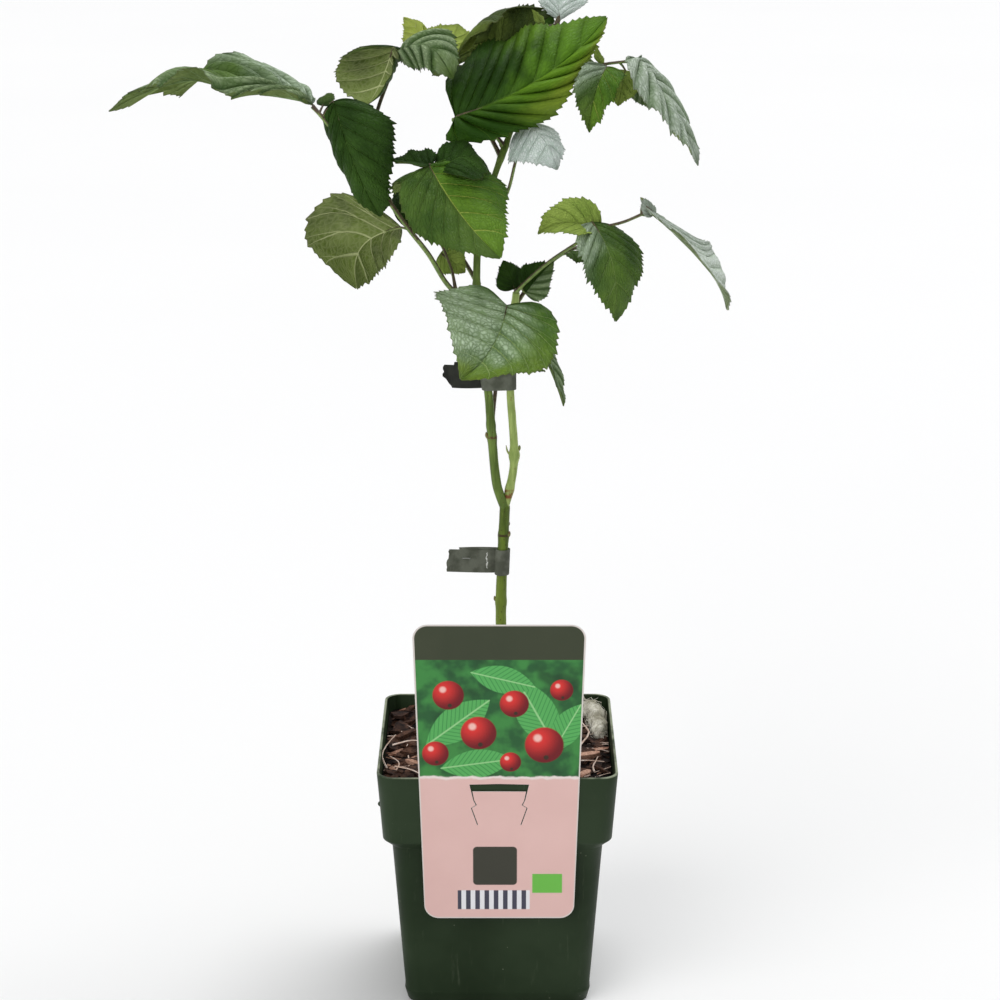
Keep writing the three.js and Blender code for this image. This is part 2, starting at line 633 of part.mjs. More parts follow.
// Label card with a slot and two cuts that free its tongue, drawn in its own plane.
function labelGeometry() {
  const { top, foot, topHalf, footHalf, corner, cornerLean, cornerSteps, thick } = LABEL;
  const card = new THREE.Shape();
  card.moveTo(-footHalf + corner, foot);
  card.lineTo(footHalf - corner, foot);
  card.quadraticCurveTo(footHalf, foot, footHalf + cornerLean, foot + corner);
  card.lineTo(topHalf - cornerLean, top - corner);
  card.quadraticCurveTo(topHalf, top, topHalf - corner, top);
  card.lineTo(-topHalf + corner, top);
  card.quadraticCurveTo(-topHalf, top, -topHalf + cornerLean, top - corner);
  card.lineTo(-footHalf - cornerLean, foot + corner);
  card.quadraticCurveTo(-footHalf, foot, -footHalf + corner, foot);
  const { slotTop, slotFoot, slotHalf, tongueFoot, tongueHalf, cut } = LABEL;
  const slot = new THREE.Path();
  slot.moveTo(-slotHalf, slotTop);
  slot.lineTo(slotHalf, slotTop);
  slot.lineTo(slotHalf, slotFoot);
  slot.lineTo(tongueHalf + cut, slotFoot);
  slot.lineTo(tongueHalf + cut, tongueFoot);
  slot.lineTo(tongueHalf, tongueFoot);
  slot.lineTo(tongueHalf, slotFoot);
  slot.lineTo(-tongueHalf, slotFoot);
  slot.lineTo(-tongueHalf, tongueFoot);
  slot.lineTo(-tongueHalf - cut, tongueFoot);
  slot.lineTo(-tongueHalf - cut, slotFoot);
  slot.lineTo(-slotHalf, slotFoot);
  card.holes.push(slot);
  return new THREE.ExtrudeGeometry(card, { depth: thick, bevelEnabled: false, curveSegments: cornerSteps });
}

// Outline of a band round one or more limbs at a height, offset from their bark.
function bandRing(names, height, offset) {
  const limbs = names.map((name) => limbAt(name, height));
  const first = limbs[0];
  const last = limbs[limbs.length - 1];
  const ring = [];
  for (const [end, start] of [[last, -Math.PI / 2], [first, Math.PI / 2]]) {
    for (let step = 0; step <= TIE.arcSteps; step += 1) {
      const angle = start + (Math.PI * step) / TIE.arcSteps;
      const radius = end.radius + offset;
      ring.push(new THREE.Vector3(
        end.centre.x + radius * Math.cos(angle),
        end.centre.y + radius * Math.sin(angle),
        height,
      ));
    }
  }
  return ring;
}

// Tape band that follows the limbs it holds, with its loose end standing out to the left.
function tieSolid({ foot, top, tail, tailY, limbs }) {
  const OVERSHOOT = 0.2;
  const { thick, slack, levels } = TIE;
  const heights = (low, high) => Array.from({ length: levels + 1 }, (_, i) => low + ((high - low) * i) / levels);
  const outer = skin(heights(foot, top).map((height) => bandRing(limbs, height, slack + thick)));
  const inner = skin(heights(foot - OVERSHOOT, top + OVERSHOOT).map((height) => bandRing(limbs, height, slack)));
  const { centre } = limbAt(limbs[0], (foot + top) / 2);
  const strip = new THREE.BoxGeometry(centre.x - tail, thick, top - foot);
  strip.translate((centre.x + tail) / 2, centre.y + tailY, (foot + top) / 2);
  return largest(outer.add(solidOf(strip)).subtract(inner));
}

const root = new THREE.Group();

function addMesh(name, geometry, finish) {
  const mesh = new THREE.Mesh(geometry, new THREE.MeshStandardMaterial({ ...finish, metalness: 0 }));
  mesh.name = name;
  root.add(mesh);
  return mesh;
}

function addSolid(name, solid, finish) {
  const { vertProperties, triVerts } = solid.getMesh();
  const geometry = new THREE.BufferGeometry();
  geometry.setAttribute('position', new THREE.BufferAttribute(vertProperties, 3));
  geometry.setIndex(new THREE.BufferAttribute(triVerts, 1));
  addMesh(name, geometry, finish);
}

addSolid('pot', potSolid(), FINISHES.pot);
addSolid('soil', soilSolid(), FINISHES.soil);

const label = addMesh('label', labelGeometry(), FINISHES.label);
const collarLean = Math.atan((POT.rimHalf - POT.collarFootHalf) / (POT.height - POT.collarFoot));
label.rotation.x = Math.PI / 2 + collarLean;
label.position.set(LABEL.middle, -POT.rimHalf - GAP, POT.height);

const limbSolids = {};
limbSolids.stem = namedLimb('stem');
limbSolids.cane_left = namedLimb('cane_left').subtract(namedLimb('stem', GAP));
limbSolids.cane_right = namedLimb('cane_right')
  .subtract(wasm.Manifold.union([namedLimb('stem', GAP), namedLimb('cane_left', GAP)]));
for (const [name, solid] of Object.entries(limbSolids)) {
  addSolid(name, largest(solid), name === 'stem' ? FINISHES.stem : FINISHES.cane);
}

for (const [name, spec] of Object.entries(TIES)) {
  addSolid(name, tieSolid(spec), FINISHES.tie);
}

const clearOfLimbs = wasm.Manifold.union(Object.keys(LIMBS).map((name) => namedLimb(name, GAP)));
const sprays = { ...SPRAYS };
const taken = limbCloud();
for (const { leaves } of Object.values(SPRAYS)) {
  taken.push(...leaves.flatMap((form) => new Leaflet(form).cloud()));
}
for (const [name, spec] of Object.entries(BACK_SPRAYS)) {
  const spray = backSpray(spec);
  spray.leaves = spray.leaves.filter((form) => hasRoom(new Leaflet(form).cloud(), taken));
  taken.push(...spray.leaves.flatMap((form) => new Leaflet(form).cloud()));
  sprays[name] = spray;
}
for (const [name, spray] of Object.entries(sprays)) {
  addSolid(name, spraySolid(spray, clearOfLimbs), FINISHES.foliage);
}

export default root;
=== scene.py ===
"""Looks of a potted tayberry: leaves, stalks, canes, tape ties, soil, pot and hang label.

Sizes are millimetres until a mesh is made, with +Z up and the origin under the middle of the pot. Colours are
red, green and blue from 0 to 255, as a display shows them.
"""
import logging
import math
import random
from dataclasses import dataclass, field
from enum import Enum
from pathlib import Path as FilePath
from typing import Callable, Sequence, Union

import bpy
import numpy as np
from mathutils import Euler, Matrix, Vector, noise


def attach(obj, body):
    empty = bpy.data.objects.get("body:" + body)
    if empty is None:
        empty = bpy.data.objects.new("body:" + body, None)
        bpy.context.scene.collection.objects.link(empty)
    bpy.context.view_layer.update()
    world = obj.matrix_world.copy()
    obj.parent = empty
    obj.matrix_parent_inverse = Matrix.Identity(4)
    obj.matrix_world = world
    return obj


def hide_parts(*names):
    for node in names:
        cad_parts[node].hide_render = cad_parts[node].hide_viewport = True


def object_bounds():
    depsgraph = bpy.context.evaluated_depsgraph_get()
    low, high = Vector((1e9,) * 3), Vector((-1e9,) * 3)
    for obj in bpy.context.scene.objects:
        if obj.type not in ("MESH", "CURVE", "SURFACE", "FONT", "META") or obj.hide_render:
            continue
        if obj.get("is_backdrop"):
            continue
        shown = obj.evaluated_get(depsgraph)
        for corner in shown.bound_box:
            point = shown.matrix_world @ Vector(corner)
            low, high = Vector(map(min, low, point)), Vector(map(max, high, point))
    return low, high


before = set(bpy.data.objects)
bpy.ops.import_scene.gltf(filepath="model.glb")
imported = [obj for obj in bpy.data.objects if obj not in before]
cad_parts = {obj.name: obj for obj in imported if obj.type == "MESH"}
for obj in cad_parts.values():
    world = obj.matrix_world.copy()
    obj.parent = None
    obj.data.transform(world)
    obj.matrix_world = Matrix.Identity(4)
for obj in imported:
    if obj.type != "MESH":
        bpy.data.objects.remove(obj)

Array = np.ndarray
Object = bpy.types.Object
Material = bpy.types.Material
Socket = bpy.types.NodeSocket
Colour = tuple[float, float, float]
Point = tuple[float, float, float]
Pair = tuple[float, float]
Faces = Sequence[Sequence[int]]
Draw = Callable[[float, float], float]
Rows = Sequence[Sequence[float]]
Term = Union["Value", float]
Input = Union["Value", Socket, float, tuple]

LOG = logging.getLogger("tayberry")
MM = 0.001
ROOT = "root"
CHART = "leaf_chart"
UP = np.array([0.0, 0.0, 1.0])


def linear(colour: Colour) -> tuple[float, ...]:
    """A display colour in linear light, opaque.

    Args:
        colour: The colour as a display shows it.

    Returns:
        Red, green, blue and opacity.
    """
    shares = [level / 255 for level in colour]
    light = [share / 12.92 if share <= 0.04045 else ((share + 0.055) / 1.055) ** 2.4 for share in shares]
    return (*light, 1.0)


def unit(vector: Sequence[float]) -> Array:
    """The vector at length one."""
    array = np.asarray(vector, float)
    return array / np.linalg.norm(array)


def unit_rows(vectors: Array) -> Array:
    """Each row at length one."""
    return vectors / np.linalg.norm(vectors, axis=-1, keepdims=True)


def circle(sides: int) -> Array:
    """Turns of a circle's points."""
    return np.linspace(0, 2 * math.pi, sides, endpoint=False)


def park_miller(seed: int) -> Draw:
    """Park and Miller's generator, the one that the plant's solids grow by.

    Args:
        seed: First state.

    Returns:
        A function that gives the next value between its low and high.
    """
    multiplier = 16807
    modulus = 2147483647
    state = seed

    def draw(low: float, high: float) -> float:
        """Next value between low and high.

        Args:
            low: Lower limit.
            high: Upper limit.

        Returns:
            The value.
        """
        nonlocal state
        state = (state * multiplier) % modulus
        return low + (high - low) * state / modulus

    return draw


def math_method(operation: str, swapped: bool = False) -> Callable[..., "Value"]:
    """Method of a value that adds a Math node.

    Args:
        operation: What the node works out.
        swapped: Whether the other term comes first.

    Returns:
        The method, which takes the other term if there is one.
    """
    def method(value: "Value", *others: Term) -> "Value":
        """Result of the node on this value and the others."""
        return value.graph.math(operation, *((*others, value) if swapped else (value, *others)))

    return method


class Value:
    """A number's socket, with arithmetic that adds Math nodes to its graph."""

    __add__ = __radd__ = math_method("ADD")
    __sub__ = math_method("SUBTRACT")
    __rsub__ = math_method("SUBTRACT", swapped=True)
    __mul__ = __rmul__ = math_method("MULTIPLY")
    __truediv__ = math_method("DIVIDE")
    __pow__ = math_method("POWER")
    __abs__ = math_method("ABSOLUTE")
    most = math_method("MAXIMUM")
    least = math_method("MINIMUM")
    sine = math_method("SINE")
    fraction = math_method("FRACT")

    def __init__(self, graph: "Graph", socket: Socket) -> None:
        """Wraps a socket of a graph."""
        self.graph = graph
        self.socket = socket

    def ramp(self, start: float, end: float) -> "Value":
        """Smooth rise from 0 to 1, or a fall where start is larger.

        Args:
            start: Where it is 0.
            end: Where it is 1.

        Returns:
            The eased value.
        """
        low, high = sorted((start, end))
        node = self.graph.node("ShaderNodeMapRange", {"Value": self, "From Min": low, "From Max": high},
                               interpolation_type="SMOOTHSTEP")
        risen = Value(self.graph, node.outputs["Result"])
        return risen if start < end else 1 - risen


class NodeTree:
    """A node tree that grows by one method."""

    def __init__(self, tree: bpy.types.NodeTree) -> None:
        """Keeps the tree."""
        self.tree = tree

    def node(self, kind: str, inputs: dict | None = None, **settings: object) -> bpy.types.Node:
        """Makes any node.

        Args:
            kind: The node's type name.
            inputs: Values or links by socket name or number.
            settings: Attributes, which are set first.

        Returns:
            The new node.
        """
        made = self.tree.nodes.new(kind)
        for key, setting in settings.items():
            setattr(made, key, setting)
        for key, value in (inputs or {}).items():
            socket = made.inputs[key]
            source = value.socket if isinstance(value, Value) else value
            if isinstance(source, Socket):
                self.tree.links.new(source, socket)
            else:
                socket.default_value = linear(source) if socket.type == "RGBA" else source
        return made


class Graph(NodeTree):
    """Node tree of one material."""

    FIRST, SECOND, MIXED = 6, 7, 2

    def __init__(self, name: str) -> None:
        """Makes an empty material of that name.

        Args:
            name: Name of the material.
        """
        self.material = bpy.data.materials.new(name)
        self.material.use_nodes = True
        super().__init__(self.material.node_tree)
        self.tree.nodes.clear()
        self.place = self.node("ShaderNodeTexCoord").outputs["Object"]

    def split(self, vector: Socket) -> tuple[Value, ...]:
        """The three numbers of a vector."""
        return tuple(Value(self, part) for part in self.node("ShaderNodeSeparateXYZ", {0: vector}).outputs)

    def chart(self) -> tuple[Value, ...]:
        """A leaf's chart: veins passed from the base, place across from -1 to 1, and share of the length."""
        return self.split(self.node("ShaderNodeAttribute", attribute_name=CHART).outputs["Vector"])

    def axes(self) -> tuple[Value, ...]:
        """The three object coordinates, in millimetres."""
        return tuple(part / MM for part in self.split(self.place))

    def stretch(self, scale: Point) -> Socket:
        """Object coordinates times a scale for each axis."""
        return self.node("ShaderNodeVectorMath", {0: self.place, 1: scale}, operation="MULTIPLY").outputs[0]

    def math(self, operation: str, *terms: Term) -> Value:
        """Result of a Math node on the terms."""
        made = self.node("ShaderNodeMath", dict(enumerate(terms)), operation=operation)
        return Value(self, made.outputs[0])

    def mix(self, factor: Input, first: Input, second: Input) -> Socket:
        """Colour by a factor between a first and a second one."""
        inputs = {0: factor, self.FIRST: first, self.SECOND: second}
        return self.node("ShaderNodeMix", inputs, data_type="RGBA").outputs[self.MIXED]

    def noise(
        self, size: float, detail: float = 3.0, rough: float = 0.5, stretch: Point = (1, 1, 1),
    ) -> Value:
        """Noise around one half.

        Args:
            size: Size of its lumps in millimetres.
            detail: Number of finer layers.
            rough: Weight of the finer layers.
            stretch: Scale of each axis.

        Returns:
            The noise.
        """
        made = self.node("ShaderNodeTexNoise", {
            "Vector": self.stretch(stretch), "Scale": 1 / (size * MM), "Detail": detail, "Roughness": rough})
        return Value(self, made.outputs["Fac"])

    def _voronoi(self, feature: str, spot: Socket, scale: float) -> Value:
        """Distance that a Voronoi texture gives at a spot."""
        made = self.node("ShaderNodeTexVoronoi", {"Vector": spot, "Scale": scale}, feature=feature)
        return Value(self, made.outputs["Distance"])

    def cells(self, size: float, stretch: Point = (1, 1, 1)) -> Value:
        """Distance to the middles of cells whose size is in millimetres."""
        return self._voronoi("F1", self.stretch(stretch), 1 / (size * MM))

    def meshes(self, along: Value, across: Value, count: float) -> Value:
        """Distance to the edges of cells laid out on two values, a number of cells to each unit."""
        spot = self.node("ShaderNodeCombineXYZ", {0: along, 1: across})
        return self._voronoi("DISTANCE_TO_EDGE", spot.outputs[0], count)

    def bump(self, height: Value, depth: float) -> Socket:
        """Normal of a relief whose height runs from 0 to 1 over a depth in millimetres."""
        return self.node("ShaderNodeBump", {"Height": height, "Distance": depth * MM}).outputs[0]

    def finish(
        self, colour: Input, roughness: Input, normal: Socket | None = None, specular: float = 0.5,
    ) -> Material:
        """Ends the tree in a principled surface.

        Args:
            colour: Base colour or its socket.
            roughness: Roughness or its socket.
            normal: Normal from a bump, if any.
            specular: Specular level of the surface.

        Returns:
            The finished material.
        """
        inputs = {"Base Color": colour, "Roughness": roughness, "Specular IOR Level": specular}
        if normal is not None:
            inputs["Normal"] = normal
        surface = self.node("ShaderNodeBsdfPrincipled", inputs)
        self.node("ShaderNodeOutputMaterial", {"Surface": surface.outputs["BSDF"]})
        return self.material


class Side(Enum):
    """The two sides of a leaf, each with a finish of its own."""

    UPPER = "upper"
    UNDER = "under"


@dataclass(frozen=True)
class LeafFinish:
    """Finish of one tone of leaf.

    Each side has a light and a deep colour and one that it turns to at the tip. The sheen is a painted
    reflection of the bright light overhead, laid as pale colour on the swollen parts between the veins; it
    fades over ranges of the length and width and is dealt out by lit bands on one side of each pleat and by
    the net.
    The upper side also has painted shade in the net's hollows, beside the veins and towards the base. The rim
    is the tint of the margin, on some tones painted light shining through the edge, and the net is the mesh
    of small veins.
    """

    upper: Colour
    upper_deep: Colour
    upper_tip: Colour
    under: Colour
    under_deep: Colour
    under_tip: Colour
    vein: Colour
    vein_share: float = 0.5
    tip_range: Pair = (0.35, 0.95)
    # Fields of the sheen, a painted reflection of the overhead light, with its lit bands and the net that
    # breaks it.
    sheen_share: float = 0.0
    sheen: Colour = (255, 255, 255)
    sheen_length: Pair = (0.9, 1.6)
    sheen_from: Pair = (-0.4, -0.3)
    sheen_width: Pair = (2.0, 3.0)
    band_share: float = 0.4
    net_grain: float = 0.6
    # Strength of the painted shade towards the base.
    base_shade: float = 0.25
    rim: Colour = (255, 255, 255)
    rim_share: float = 0.0
    sheen_patch: float = 20.0
    roughness: float = 0.45
    specular: float = 0.16
    net_count: float = 4.0
    net_depth: float = 0.95
    vein_half: float = 0.04
    vein_least: float = 0.012
    rib_half: float = 0.02
    fork_start: float = 0.4
    fork_slope: float = 0.62
    across_scale: float = 2.9

    def material(self, name: str, side: Side) -> Material:
        """Material of one side of the leaf, with veins and net in colour and relief.

        Args:
            name: Name of the tone.
            side: Which side.

        Returns:
            The material.
        """
        graph = Graph(f"leaf_{name}_{side.value}")
        is_upper = side is Side.UPPER
        veins, across, share = graph.chart()
        reach = abs(across)
        passed = veins + (graph.noise(9.0, 2.0) - 0.5) * 0.14 * reach.ramp(0.05, 0.4)
        from_vein = abs((passed + 0.5).fraction() - 0.5)
        half = (1 - reach) * self.vein_half + self.vein_least
        line = (from_vein / half).ramp(1.0, 0.3)
        cycle = passed.fraction()
        fork_place = 1 - (reach - self.fork_start) * self.fork_slope
        fork = (abs(cycle - fork_place) / (half * 0.7)).ramp(1.0, 0.3) * reach.ramp(
            self.fork_start, self.fork_start + 0.05)
        lines = line.most(reach.ramp(self.rib_half, self.rib_half * 0.4)).most(fork * 0.8)
        warp = (graph.noise(3.5, 2.0) - 0.5) * 0.3
        net = (graph.meshes(passed + warp, across * self.across_scale + warp, self.net_count)
               * 1.7).least(1.0) ** 0.65
        light, deep, tip = ((self.upper, self.upper_deep, self.upper_tip) if is_upper
                            else (self.under, self.under_deep, self.under_tip))
        colour = graph.mix(graph.noise(13.0).ramp(0.36, 0.64), light, deep)
        wander = (graph.noise(11.0) - 0.5) * 0.5
        colour = graph.mix((share + wander).ramp(*self.tip_range), colour, tip)
        if self.rim_share:
            edge = (reach + wander * 0.5).ramp(0.35, 0.85) * share.ramp(0.2, 0.5)
            colour = graph.mix(edge * self.rim_share, colour, self.rim)
        if is_upper:
            # Painted shade: darker in the net's hollows, beside the veins and towards the base.
            painted_hollow_shade = (1 - net) * 0.5 + (1 - from_vein.ramp(0.0, 0.42)) * 0.35
            shade = (share.ramp(0.45, 0.0) * self.base_shade).most(painted_hollow_shade * 0.75)
            colour = graph.mix(shade, colour, graph.mix(0.75, colour, deep))
            # Painted reflection: pale colour where the bright overhead light would glint off the swollen
            # parts.
            if self.sheen_share:
                start, end = self.sheen_length
                fade = (share + wander * 0.6).ramp(end, start) * share.ramp(*self.sheen_from)
                aside = (reach + wander * 0.5).ramp(self.sheen_width[1], self.sheen_width[0])
                painted_sheen_mask = graph.noise(self.sheen_patch, 3.0).ramp(0.1, 0.5) * fade * aside
                # Lit bands on one side of each pleat, and the net, deal out the painted reflection.
                band = cycle.ramp(0.04, 0.34) * cycle.ramp(0.94, 0.56)
                grain = (1 - (1 - net) * self.net_grain) * (1 - (1 - band) * self.band_share)
                colour = graph.mix(painted_sheen_mask * grain * self.sheen_share, colour, self.sheen)
            colour = graph.mix(lines * self.vein_share, colour, self.vein)
        else:
            down = graph.noise(16.0, 3.0).ramp(0.55, 0.75)
            for mask in (down * 0.12, (1 - net) * 0.28, lines * 0.85):
                colour = graph.mix(mask, colour, self.vein)
        colour = graph.mix(reach.ramp(0.965, 1.0) * 0.35, colour, EDGE_BROWN)
        height = net * 0.6 + graph.noise(0.6, 2.0) * 0.05 + lines * (-0.3 if is_upper else 0.5)
        relief = graph.bump(height, self.net_depth if is_upper else self.net_depth * 0.6)
        rough = self.roughness + 0.16 * graph.noise(5.0) + (0.0 if is_upper else 0.2)
        return graph.finish(colour, rough, relief, self.specular)


EDGE_BROWN = (74, 66, 34)
UNDER_SIDE = ((108, 124, 66), (84, 102, 46), (104, 122, 58))


class Tone(Enum):
    """Tones of leaf, dealt out by leaflet, with the finish of each, some with painted light or shade."""

    DARK = LeafFinish(
        (50, 80, 26), (34, 60, 16), (60, 92, 30), *UNDER_SIDE, (88, 118, 54), 0.3,
        specular=0.09)
    # Painted light and shade on the two halves of the large top leaf: the dark base is partly painted shade,
    # and the yellow-green rim is painted light shining through the margin.
    TURNING = LeafFinish(
        (44, 76, 18), (30, 56, 10), (96, 140, 36), *UNDER_SIDE, (92, 126, 48), 0.4,
        (0.42, 0.85), rim=(104, 142, 38), rim_share=0.5, net_depth=0.5, specular=0.1)
    FRINGE = LeafFinish(
        (56, 92, 20), (38, 70, 14), (104, 146, 32), *UNDER_SIDE, (106, 140, 50), 0.4,
        (0.2, 0.7), rim=(136, 158, 50), rim_share=0.95, net_depth=0.5, specular=0.1)
    MID = LeafFinish(
        (80, 110, 40), (54, 84, 26), (92, 122, 46), *UNDER_SIDE, (124, 148, 74), 0.35)
    BRIGHT = LeafFinish(
        (96, 136, 38), (68, 106, 26), (110, 148, 44), *UNDER_SIDE, (168, 186, 84), 0.7,
        base_shade=0.7)
    GOLDEN = LeafFinish(
        (168, 192, 94), (136, 164, 70), (156, 178, 82), (178, 196, 96),
        (146, 168, 70), (150, 170, 72), (178, 194, 112), 0.4)
    # Painted light: a pale yellow-green that stands for sunlight on a small leaf lying in the shade of
    # others.
    SUNLIT = LeafFinish(
        (222, 238, 116), (196, 216, 96), (206, 224, 100), (238, 250, 130),
        (212, 230, 104), (222, 240, 110), (244, 252, 170), 0.4)
    # Painted reflection: the tones from here to the olive one are pale grey-green because they paint the
    # glare of the bright light overhead on upturned leaves, as base colour and as sheen.
    SILVER = LeafFinish(
        (128, 152, 112), (92, 120, 74), (134, 156, 84), *UNDER_SIDE, (160, 178, 148),
        0.35, (0.9, 1.1), 0.95, (222, 232, 222), band_share=0.6, net_grain=0.7, specular=0.3)
    PEARL = LeafFinish(
        (168, 188, 158), (120, 146, 108), (156, 168, 66), *UNDER_SIDE, (190, 204, 180),
        0.35, (0.84, 0.98), 0.95, (240, 246, 244), (0.84, 1.0), band_share=0.3, net_grain=0.75,
        specular=0.35)
    CHALK = LeafFinish(
        (212, 230, 218), (154, 180, 162), (176, 192, 150), *UNDER_SIDE, (216, 228, 214),
        0.3, (0.9, 1.1), 1.0, (250, 254, 255), (0.95, 1.4), band_share=0.25, net_grain=0.85, specular=0.4)
    MISTED = LeafFinish(
        (124, 156, 90), (84, 116, 54), (134, 162, 60), *UNDER_SIDE, (176, 200, 144),
        0.6, (0.78, 0.98), 1.0, (224, 244, 214), (0.72, 0.98), (0.04, 0.2), band_share=0.3, net_grain=0.8,
        base_shade=0.7, specular=0.3)
    VEINED = LeafFinish(
        (94, 130, 44), (64, 100, 28), (122, 154, 46), *UNDER_SIDE, (166, 190, 116),
        0.7, (0.7, 0.98), 1.0, (214, 236, 202), (0.66, 1.0), (0.04, 0.16), (0.28, 0.8), 0.6, 0.75,
        rim=(124, 150, 44), rim_share=0.5, specular=0.25)
    FROST = LeafFinish(
        (72, 104, 38), (46, 78, 22), (96, 124, 46), *UNDER_SIDE, (132, 156, 104),
        0.35, (0.7, 1.0), 0.8, (186, 206, 162), (0.6, 1.2), band_share=0.8, net_grain=0.7, specular=0.16)
    CREST = LeafFinish(
        (82, 112, 42), (56, 86, 28), (98, 128, 44), *UNDER_SIDE, (140, 162, 100),
        0.35, (0.5, 0.9), 1.0, (208, 226, 204), (0.15, 0.6), specular=0.25)
    OLIVE = LeafFinish(
        (70, 96, 40), (52, 76, 28), (70, 96, 40), (88, 108, 38), (60, 78, 24),
        (100, 120, 46), (194, 202, 148), 0.3, vein_half=0.08, specular=0.08)
    # Painted light and shade: yellow-olive at the base where light shines through the leaf, and painted shade
    # at its dark tip.
    SHADE = LeafFinish(
        (122, 142, 66), (94, 112, 46), (42, 60, 20), (122, 142, 66), (94, 112, 46),
        (42, 60, 20), (112, 126, 66), 0.15, (0.3, 0.62))


@dataclass(frozen=True)
class StalkFinish:
    """Finish of leaf stalks: one colour, its darker shade and red-brown flecks."""

    name: str
    light: Colour
    deep: Colour
    fleck: Colour

    def material(self) -> Material:
        """Material with long streaks and small flecks.

        Returns:
            The material.
        """
        graph = Graph(f"stalk_{self.name}")
        colour = graph.mix(graph.noise(2.2, 3.0).ramp(0.35, 0.65), self.light, self.deep)
        colour = graph.mix(graph.cells(1.3).ramp(0.32, 0.2) * 0.6, colour, self.fleck)
        return graph.finish(colour, 0.5 + 0.2 * graph.noise(3.0), graph.bump(graph.noise(0.5, 2.0), 0.12))


STALK_GREEN = StalkFinish("green", (128, 150, 78), (96, 122, 58), (92, 70, 46))
STALK_BROWN = StalkFinish("brown", (92, 84, 56), (70, 56, 42), (96, 44, 34))
HAIR = StalkFinish("hair", (176, 170, 140), (150, 120, 92), (120, 70, 52))
BUD = StalkFinish("bud", (122, 134, 66), (104, 78, 48), (110, 46, 34))
STUB = StalkFinish("stub", (186, 196, 138), (152, 166, 100), (150, 122, 84))


@dataclass(frozen=True)
class CaneFinish:
    """Finish of one green limb, with streaks, red-brown specks and one red-brown ring."""

    light: Colour
    deep: Colour
    foot: Colour
    speck: Colour
    foot_height: float
    ring_height: float
    ring_half: float

    def material(self, name: str) -> Material:
        """Material that changes towards the foot.

        Args:
            name: Name of the limb.

        Returns:
            The material.
        """
        graph = Graph(f"bark_{name}")
        z = graph.axes()[2]
        specks = graph.cells(2.1, (1, 1, 0.7)).ramp(0.17, 0.1)
        colour = graph.mix(graph.noise(2.0, 4.0, 0.55, (1, 1, 0.12)).ramp(0.32, 0.68), self.light, self.deep)
        colour = graph.mix(graph.noise(9.0, 3.0).ramp(0.42, 0.7) * 0.5, colour, self.deep)
        colour = graph.mix(z.ramp(self.foot_height + 60, self.foot_height - 40) * 0.6, colour, self.foot)
        ring = abs(z - self.ring_height).ramp(self.ring_half, self.ring_half * 0.5)
        ring = ring * graph.noise(2.5).ramp(0.3, 0.5)
        colour = graph.mix((ring * 0.9).most(specks * 0.75), colour, self.speck)
        relief = graph.bump(graph.noise(0.8, 3.0, 0.5, (1, 1, 0.25)) + specks * 0.5, 0.2)
        return graph.finish(colour, 0.36 + 0.22 * graph.noise(4.0), relief, 0.2)


@dataclass(frozen=True)
class PotFinish:
    """Finish of the moulded pot: dark green plastic, fine grain, scuffs, dust and painted light on collar and
    rim.
    """

    base: Colour = (26, 42, 20)
    # Paler green of the random clouds, and of the collar's painted light.
    pale: Colour = (50, 66, 44)
    dust: Colour = (112, 120, 100)
    # Colour of the painted highlight along the rim.
    edge: Colour = (168, 176, 150)
    roughness: float = 0.4

    def material(self) -> Material:
        """Material with scuffs, dust specks, a painted rim highlight, a collar painted paler and a satin
        grain.

        Returns:
            The material.
        """
        graph = Graph("pot_plastic")
        z = graph.axes()[2]
        scuff = graph.noise(3.0, 4.0, 0.6, (1, 1, 0.08)).ramp(0.6, 0.78)
        dust = graph.cells(5.2).ramp(0.1, 0.05) * graph.noise(21.0).ramp(0.52, 0.62)
        colour = graph.mix(graph.noise(46.0, 3.0).ramp(0.3, 0.7) * 0.5, self.base, self.pale)
        # Painted light and shade: the collar is paler than the body, which lies in the collar's shade.
        colour = graph.mix(z.ramp(99.0, 102.0) * 0.45, colour, self.pale)
        colour = graph.mix((scuff * 0.18).most(dust * 0.5), colour, self.dust)
        # Painted highlight: a broken pale line along the top of the rim.
        colour = graph.mix(z.ramp(139.3, 139.9) * graph.noise(14.0).ramp(0.3, 0.6) * 0.7, colour, self.edge)
        relief = graph.bump(graph.noise(0.55, 2.0) * 0.7 + graph.noise(12.0) * 0.6, 0.05)
        return graph.finish(colour, self.roughness + 0.16 * graph.noise(9.0) + scuff * 0.1, relief, 0.17)


@dataclass(frozen=True)
class EarthFinish:
    """Finish of the soil and what lies on it."""

    name: str
    light: Colour
    deep: Colour
    grain: float
    depth: float
    roughness: float = 0.8

    def material(self) -> Material:
        """Material with grain along and across.

        Returns:
            The material.
        """
        graph = Graph(f"earth_{self.name}")
        colour = graph.mix(graph.noise(self.grain * 6, 4.0, 0.6).ramp(0.34, 0.66), self.light, self.deep)
        grain = graph.noise(self.grain, 5.0, 0.65)
        # Darker where the grain's relief is low: painted shade in its hollows.
        colour = graph.mix(grain.ramp(0.55, 0.4) * 0.6, colour, self.deep)
        return graph.finish(colour, self.roughness, graph.bump(grain, self.depth), 0.12)


SOIL_BODY = EarthFinish("soil", (36, 24, 20), (12, 7, 6), 1.6, 1.2, 0.85)
BARK_CHIP = EarthFinish("bark_chip", (98, 68, 54), (26, 15, 13), 1.3, 0.4, 0.7)
WOOD_CHIP = EarthFinish("wood_chip", (214, 172, 150), (140, 100, 82), 0.9, 0.3, 0.75)
STRAW = EarthFinish("straw", (250, 234, 224), (218, 188, 170), 0.8, 0.2, 0.7)
FELT = EarthFinish("felt", (250, 248, 238), (178, 174, 156), 2.2, 0.3, 0.9)


